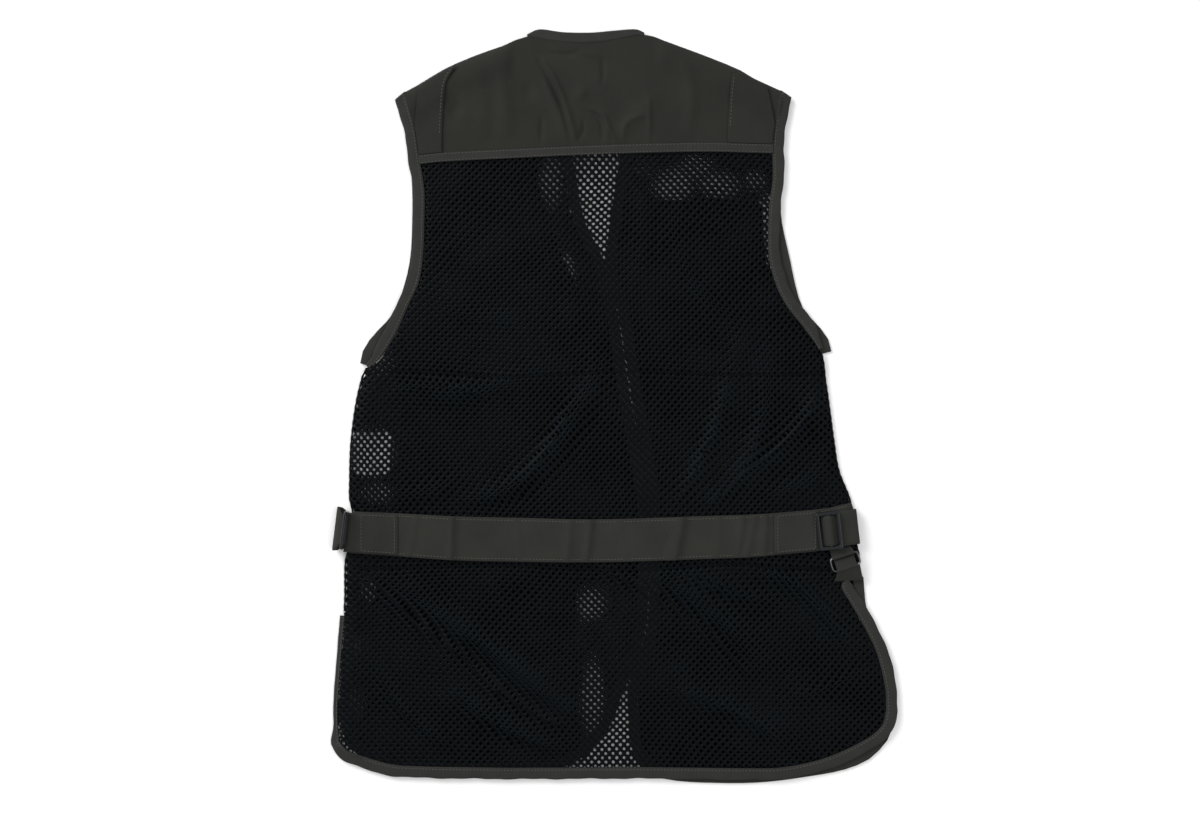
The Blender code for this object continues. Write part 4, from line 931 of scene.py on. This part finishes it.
def make_back_bindings():
    for name, node, shoulder, line, side, last_y in (
        ("arm_binding_left", "armhole_binding_back_left", SHOULDER_LEFT, LEFT, 1.0, ARM_ENDS[0]),
        ("arm_binding_right", "armhole_binding_back_right", SHOULDER_RIGHT, RIGHT, -1.0, ARM_ENDS[1]),
    ):
        edge = np.vstack([shoulder[:-1], line[line[:, 1] > last_y]])
        place = run(edge)
        widths = BINDING_WIDTH * (0.35 + 0.65 * ease(place[-1] - place, 0.0, ARM_TAPER))
        BINDINGS.append(bind(name, node, edge, side, widths, BINDING_LEVEL, ARM_SLANT))
    left = LEFT[LEFT[:, 1] < HEM_STARTS[0]]
    right = RIGHT[RIGHT[:, 1] < HEM_STARTS[1]][::-1]
    edge = np.vstack([left, HEM[1:-1], right])
    turned = edge[:, 0] < -240.0
    widths = np.where(turned, 3.0 + 7.0 * ease(-edge[:, 1], 315.0, 350.0), BINDING_WIDTH)
    base = np.minimum(back_height(*axes(edge)), REST) - 0.35
    BINDINGS.append(bind(
        "hem_binding", "hem_binding_back", edge, 1.0, widths, np.maximum(FOOT, base),
    ))


def make_neck_binding():
    edge = curve(NECK_EDGE)
    x = NECK_EDGE[0][0] + (NECK_EDGE[-1][0] - NECK_EDGE[0][0]) * rim_shares(117.0, 2.2, 1.0)
    low = top_y(TOP, x)
    high = np.maximum(top_y(edge, x), low + 1.2)
    across = rim_shares(8.0, 1.3, 1.2)
    grid = np.array([np.column_stack([x, low - LAP + (high - low + LAP) * share]) for share in across])
    over = over_edge(grid[..., 0], np.minimum(grid[..., 1], low))
    level = BINDING_LEVEL + BINDING_WALL
    top = np.where(grid[..., 1] < low + LAP_REACH, np.maximum(level, over), level)
    piece = folded_tape("neck_edge", grid, BINDING_LEVEL, top + 0.2)
    length = 120.0
    lay(piece, "neck_binding", BINDING_WIDTH, length, 0.9 * BINDING_WIDTH * length)


# Columns x, height, half width, slant: sharp creases across the belt
BELT_FOLDS = (
    (-200, 0.98, 2.6, 0.2), (-161.5, 2.1, 2, 0.05), (-155, -0.7, 4, 0.05), (-95, 0.7, 2, -0.1),
    (-44, 1.4, 2.4, 0.1), (-24.5, 2.24, 2.2, 0.12), (-18, -0.7, 4, 0.12), (9, 0.7, 3, -0.2),
    (61, 1.4, 2.6, 0.25), (66, 2.52, 2.4, 0.2), (73, -0.84, 4, 0.2), (104, 0.7, 3, 0.1),
    (126, 1.54, 2.6, 0.15), (137, 1.68, 2.4, 0.2), (151, 2.1, 2, 0.05),
)
BELT_Y = -130.0


def make_belt():
    columns = rim_shares(500.0, 2.6, 1.2)
    rows = rim_shares(42.0, 2.6, 1.2)
    top, bottom = along(BELT_TOP, columns), along(BELT_BOTTOM, columns)
    grid = np.array([top * (1 - share) + bottom * share for share in rows])
    x, y = axes(grid)
    under = belt_height(x, y)
    for place, height, width, slant in BELT_FOLDS:
        middle = place + slant * (y - BELT_Y)
        under = under + height * np.exp(-(((x - middle) / width) ** 2))
    ripple = 0.15 * np.sin(x / 5.3 + y / 9.0) * np.sin(y / 6.0 + 1.0)
    piece = cloth("belt_cloth", grid, under, BELT_WALL, BELT_CLOTH, edge=1.2, puff=ripple)
    lay_panel(piece, "belt", grid)


LEFT_SLOPE = math.tan(math.radians(-LEFT_BUCKLE[2]))
TAB_WALL = 1.5
TAB_INSET = 1.2


def on_tab(x, share):
    """y on a tab at each x, at a share of its way from the belt's top to its bottom."""
    high, low = top_y(BELT_TOP, x) - TAB_INSET, top_y(BELT_BOTTOM, x) + TAB_INSET
    return high + (low - high) * share


def make_tabs():
    spans = (
        ("tab_left", "belt_tab_left", -215.0, tab_left_end, tab_left_height),
        ("tab_right", "belt_tab_right", 160.0, lambda y: 205.0, on_belt),
    )
    for name, node, start, end, height in spans:
        rows = []
        for share in rim_shares(40.0, 2.2, 1.0):
            last = end(on_tab(start, share))
            x = start + (last - start) * rim_shares(abs(last - start), 2.2, 1.0)
            rows.append(np.column_stack([x, on_tab(x, share)]))
        count = min(len(row) for row in rows)
        grid = np.array([along(row, np.linspace(0.0, 1.0, count)) for row in rows])
        piece = cloth(name, grid, height(*axes(grid)), TAB_WALL, BELT_CLOTH)
        lay_panel(piece, node, grid)


def tab_left_end(y):
    """x where the left tab ends beside the standing buckle."""
    return LEFT_BUCKLE[0] + 1.9 + LEFT_SLOPE * (y - LEFT_BUCKLE[1])


def tab_left_height(x, y):
    """Underside of the left tab: on the belt, then up to the middle bar of its buckle."""
    low = on_belt(np.maximum(x, -255.0), y)
    return low + (11.2 - low) * ease(-x, 255.0, -tab_left_end(y))


def ribbon(name, node, rows, centre, look):
    """Strap through rows of x, z and its two half widths, turned about its buckle."""
    rows = np.array(rows)
    line = curve(rows[:, :2], 5)
    halves = np.column_stack([
        np.interp(np.arange(len(line)) / 5, np.arange(len(rows)), rows[:, column]) for column in (2, 3)
    ])
    way = np.gradient(line, axis=0)
    way /= np.hypot(*way.T)[:, None]
    side = np.column_stack([-way[:, 1], way[:, 0]]) * 0.7
    width, edge = 34.0, 0.8
    spread = rim_shares(width, 2.6, edge)
    y = -halves[:, 1:] + (halves[:, :1] + halves[:, 1:]) * spread[None, :]
    edge = np.clip(np.minimum(spread, 1 - spread) * width / edge, 0.25, 1.0)
    x0, y0, turn = centre
    turn = math.radians(turn)
    sheets = []
    for sign in (-1.0, 1.0):
        x = line[:, :1] + sign * side[:, :1] * edge
        z = line[:, 1:] + sign * side[:, 1:] * edge
        plan_x = x0 + x * math.cos(turn) - y * math.sin(turn)
        plan_y = y0 + x * math.sin(turn) + y * math.cos(turn)
        sheets.append(np.dstack([plan_x, plan_y, z]))
    piece = closed_sheet(name, *sheets, look)
    length = float(run(line)[-1])
    width = float(np.mean(halves.sum(axis=1)))
    lay(piece, node, width, length, 0.98 * width * length)


def make_straps():
    ribbon("strap_right", "belt_strap_right", STRAP_RIGHT_ROWS, RIGHT_BUCKLE, BELT_CLOTH)
    ribbon("strap_left", "belt_strap_left", STRAP_LEFT_ROWS, LEFT_BUCKLE, BELT_CLOTH)


def make_ring_cloth():
    """The loop above the ring and the vent's tab in it."""
    width = 21.0
    across = rim_shares(width, 2.0, 0.8)[:, None]
    for name, node, rows, slot in (
        ("ring_loop_cloth", "ring_loop", LOOP_ROWS, "webbing"),
        ("vent_tab_cloth", "vent_tab", TAB_ROWS, "cloth"),
    ):
        rows = np.array(rows)
        left, right = [curve(rows[:, start:start + 2], 6) for start in (0, 2)]
        z = curve(np.column_stack([rows[:, 1], rows[:, 4]]), 6)[:, 1]
        grid = np.array([a * (1 - across) + b * across for a, b in zip(left, right)])
        piece = cloth(name, grid, z[:, None], 1.2, BELT_CLOTH, edge=0.8)
        length = max(10.5, float(run(left)[-1]))
        lay(piece, node, width, length, 0.95 * grid_area(grid) + 8.0)


# Fronts

WELD_REACH = 1e-6
FLAT_ANGLE = math.radians(1.0)
SHARP_ANGLE = 1.0


def plain_faces(node):
    """Mesh of a flat solid, with its triangles joined to plain faces."""
    mesh = bmesh.new()
    mesh.from_mesh(carried(node).data)
    bmesh.ops.remove_doubles(mesh, verts=mesh.verts, dist=WELD_REACH)
    bmesh.ops.dissolve_limit(mesh, angle_limit=FLAT_ANGLE, verts=mesh.verts, edges=mesh.edges)
    return mesh


def soften(name, node, look, width=0.5, grow=None):
    """Copy of a flat solid with rounded edges, grown sideways by a distance for each y."""
    mesh = plain_faces(node)
    if grow:
        mesh.normal_update()
        moves = []
        for vert in mesh.verts:
            sides = [face.normal for face in vert.link_faces if abs(face.normal.z) < 0.5]
            away = sum(sides, Vector((0.0, 0.0, 0.0)))
            away.z = 0.0
            moves.append(away / max(away.length, 0.5) * grow(vert.co.y / MM - OFFSET[1]) * MM)
        for vert, move in zip(mesh.verts, moves):
            vert.co += move
    sharp = [edge for edge in mesh.edges if len(edge.link_faces) == 2 and edge.calc_face_angle() > SHARP_ANGLE]
    bmesh.ops.bevel(
        mesh, geom=sharp, offset=width * MM, segments=3, affect="EDGES", profile=0.5, clamp_overlap=True,
    )
    for face in mesh.faces:
        face.smooth = False
    data = bpy.data.meshes.new(name)
    mesh.to_mesh(data)
    mesh.free()
    data.materials.append(look)
    piece = bpy.data.objects.new(name, data)
    bpy.context.scene.collection.objects.link(piece)
    return piece


def outline_of(node):
    """Outline of a flat solid, seen from above, in the plan's millimetres."""
    mesh = plain_faces(node)
    top = max(mesh.faces, key=lambda face: face.calc_center_median().z + face.calc_area() * 1e-6)
    points = np.array([[v.co.x / MM - OFFSET[0], v.co.y / MM - OFFSET[1]] for v in top.verts])
    mesh.free()
    return points


def outline_area(points):
    """Area inside an outline."""
    return abs(float(turning(points))) / 2


def turning(points):
    """Twice the area inside an outline, less than 0 where it runs clockwise."""
    after = np.roll(points, -1, axis=0)
    return (points[:, 0] * after[:, 1] - points[:, 1] * after[:, 0]).sum()


def edge_growth(y):
    """How far the fronts' edges reach towards each other: less where they nearly touch or let light in."""
    if y > 95.0:
        return 0.3
    return 1.0 if -95.0 < y < 5.0 else 0.45


# How far the fronts' nets reach under their neighbours
UNDERLAP = 3.0


def grown(points, distance):
    """Outline moved outward by a distance."""
    before = points - np.roll(points, 1, axis=0)
    after = np.roll(points, -1, axis=0) - points
    before /= np.hypot(*before.T)[:, None]
    after /= np.hypot(*after.T)[:, None]
    total = np.column_stack([before[:, 1] + after[:, 1], -before[:, 0] - after[:, 0]])
    share = np.clip(1.0 + (before * after).sum(axis=1), 0.5, 2.0)
    return points + np.sign(turning(points)) * distance * total / share[:, None]


def outline_room(points):
    """Function that gives how far an outline's inside reaches from places."""
    after = np.roll(points, -1, axis=0)

    def room(x, y):
        reach = []
        for along_x, across_y, a, b in ((x, y, 0, 1), (y, x, 1, 0)):
            low = np.full(len(x), np.inf)
            high = np.full(len(x), np.inf)
            inside = np.zeros(len(x), dtype=bool)
            for p, q in zip(points, after):
                if p[b] == q[b]:
                    continue
                crosses = (p[b] > across_y) != (q[b] > across_y)
                spot = p[a] + (across_y - p[b]) / (q[b] - p[b]) * (q[a] - p[a])
                behind = crosses & (spot <= along_x)
                ahead = crosses & (spot > along_x)
                low = np.where(behind, np.minimum(low, along_x - spot), low)
                high = np.where(ahead, np.minimum(high, spot - along_x), high)
                inside ^= ahead
            reach += [np.where(inside, low, -1.0), np.where(inside, high, -1.0)]
        return reach

    return room


# Lowest x, highest x, lowest y, highest y: where the left front's side net gapes and shows the floor
GAPING = (-259.0, -219.0, -68.0, -26.0)
# How far the fronts' nets stay inside the back's sides and top
SIDE_INSET = 0.6
TOP_INSET = 2.5


def within(reach, at_edge):
    """Room of a front's net. At the vest's free edges it stays inside the back's outline."""
    def room(x, y):
        left, right, down, up = reach(x, y)
        if at_edge:
            gapes = (x > GAPING[0]) & (x < GAPING[1]) & (y > GAPING[2]) & (y < GAPING[3])
            left = np.where(gapes, -1.0, left)
            left = np.minimum(left, x - side_x(LEFT, y) - SIDE_INSET)
            right = np.minimum(right, side_x(RIGHT, y) - x - SIDE_INSET)
            up = np.minimum(up, top_y(TOP, x) - y - TOP_INSET)
        return left, right, down, up

    return room


# Columns x, y, half width across, half width down, open share: where the fronts' net lies stretched and lets
# light through. Elsewhere it lies slack.
OPEN_PLACES = (
    (-60, 226, 14, 30, 0.82), (-47, 134, 12, 23, 0.9), (-240, -46, 26, 28, 1), (-236, 44, 20, 22, 0.6),
    (-236, -86, 22, 13, 0.8), (-257, -240, 12, 12, 0.7), (-258, -298, 12, 18, 0.75),
    (-244, -184, 12, 14, 0.7), (-22, -196, 18, 21, 0.9), (-20, -292, 13, 46, 0.86), (60, 218, 24, 22, 0.95),
    (82, 238, 22, 16, 0.8), (104, 220, 26, 16, 0.85), (141, 226, 14, 11, 0.8), (152, 176, 11, 40, 1.15),
    (30, 238, 14, 10, 0.5),
)
SLACK = 0.2
# Both nets creep alike over this many times an open place's size, and with this strength, no more than fully
PULL_REACH = 1.7
PULL = 1.5


def front_holes(x, y):
    """Share of the full hole that is open at places of the fronts."""
    share = np.full(np.shape(x), SLACK)
    for place in OPEN_PLACES:
        share = np.maximum(share, place[-1] * inside_oval(x, y, place))
    return share


def front_drift(x, y):
    """How far the fronts' net creeps along with the back's: at the open places, where both lie as one."""
    share = np.zeros(np.shape(x))
    for place_x, place_y, across, down, _ in OPEN_PLACES:
        aside, along_y = (x - place_x) / (PULL_REACH * across), (y - place_y) / (PULL_REACH * down)
        near = np.exp(-aside ** 2 - along_y ** 2)
        share = 1.0 - (1.0 - share) * (1.0 - np.minimum(1.0, PULL * near))
    step_x, step_y = net_drift(x, y)
    return step_x * share, step_y * share


def floor_level(x, y):
    return np.zeros(np.shape(x))


FRONT_NETS = (
    ("front_net_neck", "neck_mesh_left"), ("front_net_side", "side_mesh_left"),
    ("front_net_hem", "hem_mesh_left"), ("front_net_chest", "chest_mesh_right"),
)
FRONT_ROWS = range(-95, 95)
# Share of its cut's rectangle that a front's net fills
FILLED = 0.7
FRONT_BINDING_WIDTH = 10.4


def make_front_nets():
    for name, node in FRONT_NETS:
        points = outline_of(node)
        room = within(outline_room(grown(points, UNDERLAP)), name != "front_net_hem")
        piece = net(name, FRONT_ROWS, room, floor_level, FRONT_NET, front_holes, front_drift)
        area = sum(face.area for face in piece.data.polygons) / 2 / MM ** 2
        length = float(max(np.ptp(points, axis=0)))
        lay(piece, node, area / (FILLED * length), length, area)


def make_front_cloth():
    for side in ("left", "right"):
        node = "front_" + side
        piece = soften(node + "_cloth", node, FRONT_CLOTH)
        points = outline_of(node)
        width, length = np.ptp(points, axis=0)
        lay(piece, node, width, length, outline_area(points))
        for kind, node, grow in (
            ("front_edge_", "front_edge_binding_" + side, edge_growth),
            ("front_hem_", "hem_binding_front_" + side, None),
            ("front_arm_", "armhole_binding_front_" + side, None),
        ):
            piece = soften(kind + side, node, BINDING_TAPE, 0.7, grow)
            area = outline_area(outline_of(node))
            lay(piece, node, FRONT_BINDING_WIDTH, area / BINDING_WIDTH, area)


# Buckles and ring


def finish(node, look, kind, **settings):
    """Round form and a material for a solid that came with the frame."""
    piece = carried(node)
    piece.modifiers.new("weld", "WELD").merge_threshold = WELD_REACH
    modifier = piece.modifiers.new("round", kind)
    for name, value in settings.items():
        setattr(modifier, name, value)
    piece.data.materials.clear()
    piece.data.materials.append(look)


# Stitches

# How high the threads stand over the cloth, and how far a tab's box of stitches lies inside the belt
THREAD_RISE = 0.12
BOX_INSET = 3.2
# How far a binding's stitches lie from the edge that it folds over
BINDING_STITCH = 1.6
THREAD_FACES = ((1, 3, 5), (3, 0, 5), (0, 2, 5), (2, 1, 5), (3, 1, 4), (0, 3, 4), (2, 0, 4), (1, 2, 4))


def stitches(name, lines, pitch=3.4, length=2.5, width=0.5):
    """Row of small sewn threads along each line of points."""
    points, faces = [], []
    for line in lines:
        total = np.concatenate([[0.0], np.cumsum(np.linalg.norm(np.diff(line, axis=0), axis=1))])
        count = int(total[-1] / pitch)
        spots = (np.arange(count) + 0.5) * total[-1] / max(count, 1)
        behind, middles, ahead = (
            np.column_stack([np.interp(spots + step, total, line[:, axis]) for axis in range(3)])
            for step in (-0.8, 0.0, 0.8)
        )
        way = ahead - behind
        way /= np.linalg.norm(way, axis=1)[:, None]
        side = np.cross(way, (0.0, 0.0, 1.0))
        side /= np.linalg.norm(side, axis=1)[:, None]
        up = np.cross(side, way)
        for k in range(len(middles)):
            base = len(points)
            reach = (way[k] * length / 2, side[k] * width, up[k] * width)
            points += [middles[k] + sign * step for step in reach for sign in (-1.0, 1.0)]
            faces += [(base + a, base + b, base + c) for a, b, c in THREAD_FACES]
    piece = new_object(name, np.array(points), faces, THREAD, smooth=False)
    dress(piece, None)


def on_top(plan, height, above):
    """Line of points a little above a height over the plan."""
    return np.column_stack([plan, height(*axes(plan)) + above])


def make_stitches():
    seam = even(SEAM, 2.0)
    lines = [on_top(shift(seam, inset)[1:-1], over_back, 1.3) for inset in (-STITCH_INSET, STITCH_INSET)]
    for edge, inset in ((PATCH_EDGE_LEFT, 2.4), (PATCH_EDGE_RIGHT, -2.4)):
        lines.append(on_top(shift(even(curve(edge), 2.0), inset)[1:-1], over_back, 1.5))
    stitches("yoke_stitches", lines)

    lines = []
    for grid, high in BINDINGS:
        share = (BINDING_STITCH + LAP) / (BINDING_WIDTH + LAP)
        row = int(np.argmin(np.abs(np.linspace(0, 1, len(grid)) - share)))
        lines.append(np.column_stack([grid[row], high[row] + 0.05])[2:-2])
    stitches("binding_stitches", lines)

    columns = np.linspace(0.01, 0.99, 260)
    top, bottom = along(BELT_TOP, columns), along(BELT_BOTTOM, columns)
    rows = [top * (1 - share) + bottom * share for share in (0.065, 0.935)]
    lines = [on_top(row, belt_height, BELT_WALL + THREAD_RISE) for row in rows]
    stitches("belt_stitches", lines)

    boxes = []
    for low_x, high_x, height in ((-251.0, -218.0, tab_left_height), (164.0, 201.5, on_belt)):
        corners = [(x, top_y(BELT_TOP, x) - BOX_INSET) for x in (low_x, high_x)]
        corners += [(x, top_y(BELT_BOTTOM, x) + BOX_INSET) for x in (high_x, low_x)]
        box = even(np.array(corners + corners[:1]), 1.6)
        boxes.append(on_top(box, height, TAB_WALL + THREAD_RISE))
    stitches("tab_stitches", boxes)


make_back_net()
make_net_edges()
make_yoke()
make_yoke_tape()
make_patches()
make_back_bindings()
make_neck_binding()
make_belt()
make_tabs()
make_straps()
make_ring_cloth()
make_front_nets()
make_front_cloth()
for buckle in ("buckle_left", "buckle_right"):
    finish(
        buckle, BUCKLE_PLASTIC, "BEVEL",
        width=0.25 * MM, segments=3, limit_method="ANGLE", angle_limit=math.radians(25.0),
    )
finish("ring", RING_METAL, "SUBSURF", levels=2, render_levels=2)
make_stitches()

# Floor, light and camera

bpy.ops.object.select_all(action="DESELECT")
bpy.ops.mesh.primitive_plane_add(size=8.0, location=(0.0, 0.0, -0.0002))
floor = bpy.context.object
floor.name = "floor"
floor.data.materials.append(FLOOR_PAPER)


def add_light(name, place, size, power):
    """Rectangular lamp that points at the vest's middle."""
    data = bpy.data.lights.new(name, "AREA")
    data.shape = "RECTANGLE"
    data.size, data.size_y = size
    data.energy = power
    lamp = bpy.data.objects.new(name, data)
    bpy.context.scene.collection.objects.link(lamp)
    lamp.location = place
    way = -np.array(place)
    lamp.rotation_euler = (math.atan2(math.hypot(way[0], way[1]), -way[2]), 0.0, math.atan2(-way[0], way[1]))


add_light("window", (-2.3, 1.9, 1.7), (2.4, 2.0), 132.0)
add_light("fill", (1.8, -0.8, 2.6), (2.4, 2.4), 44.0)
world = bpy.data.worlds.new("studio")
world.use_nodes = True
sky = world.node_tree.nodes["Background"].inputs
sky["Color"].default_value = (1.0, 1.0, 1.0, 1.0)
sky["Strength"].default_value = 0.5
bpy.context.scene.world = world
bpy.context.scene.view_settings.view_transform = "Standard"

camera_data = bpy.data.cameras.new("camera")
camera_data.lens = 66.0
camera_data.sensor_width = 36.0
camera = bpy.data.objects.new("camera", camera_data)
camera.location = (-0.014, -0.008, 2.2)
bpy.context.scene.collection.objects.link(camera)
bpy.context.scene.camera = camera
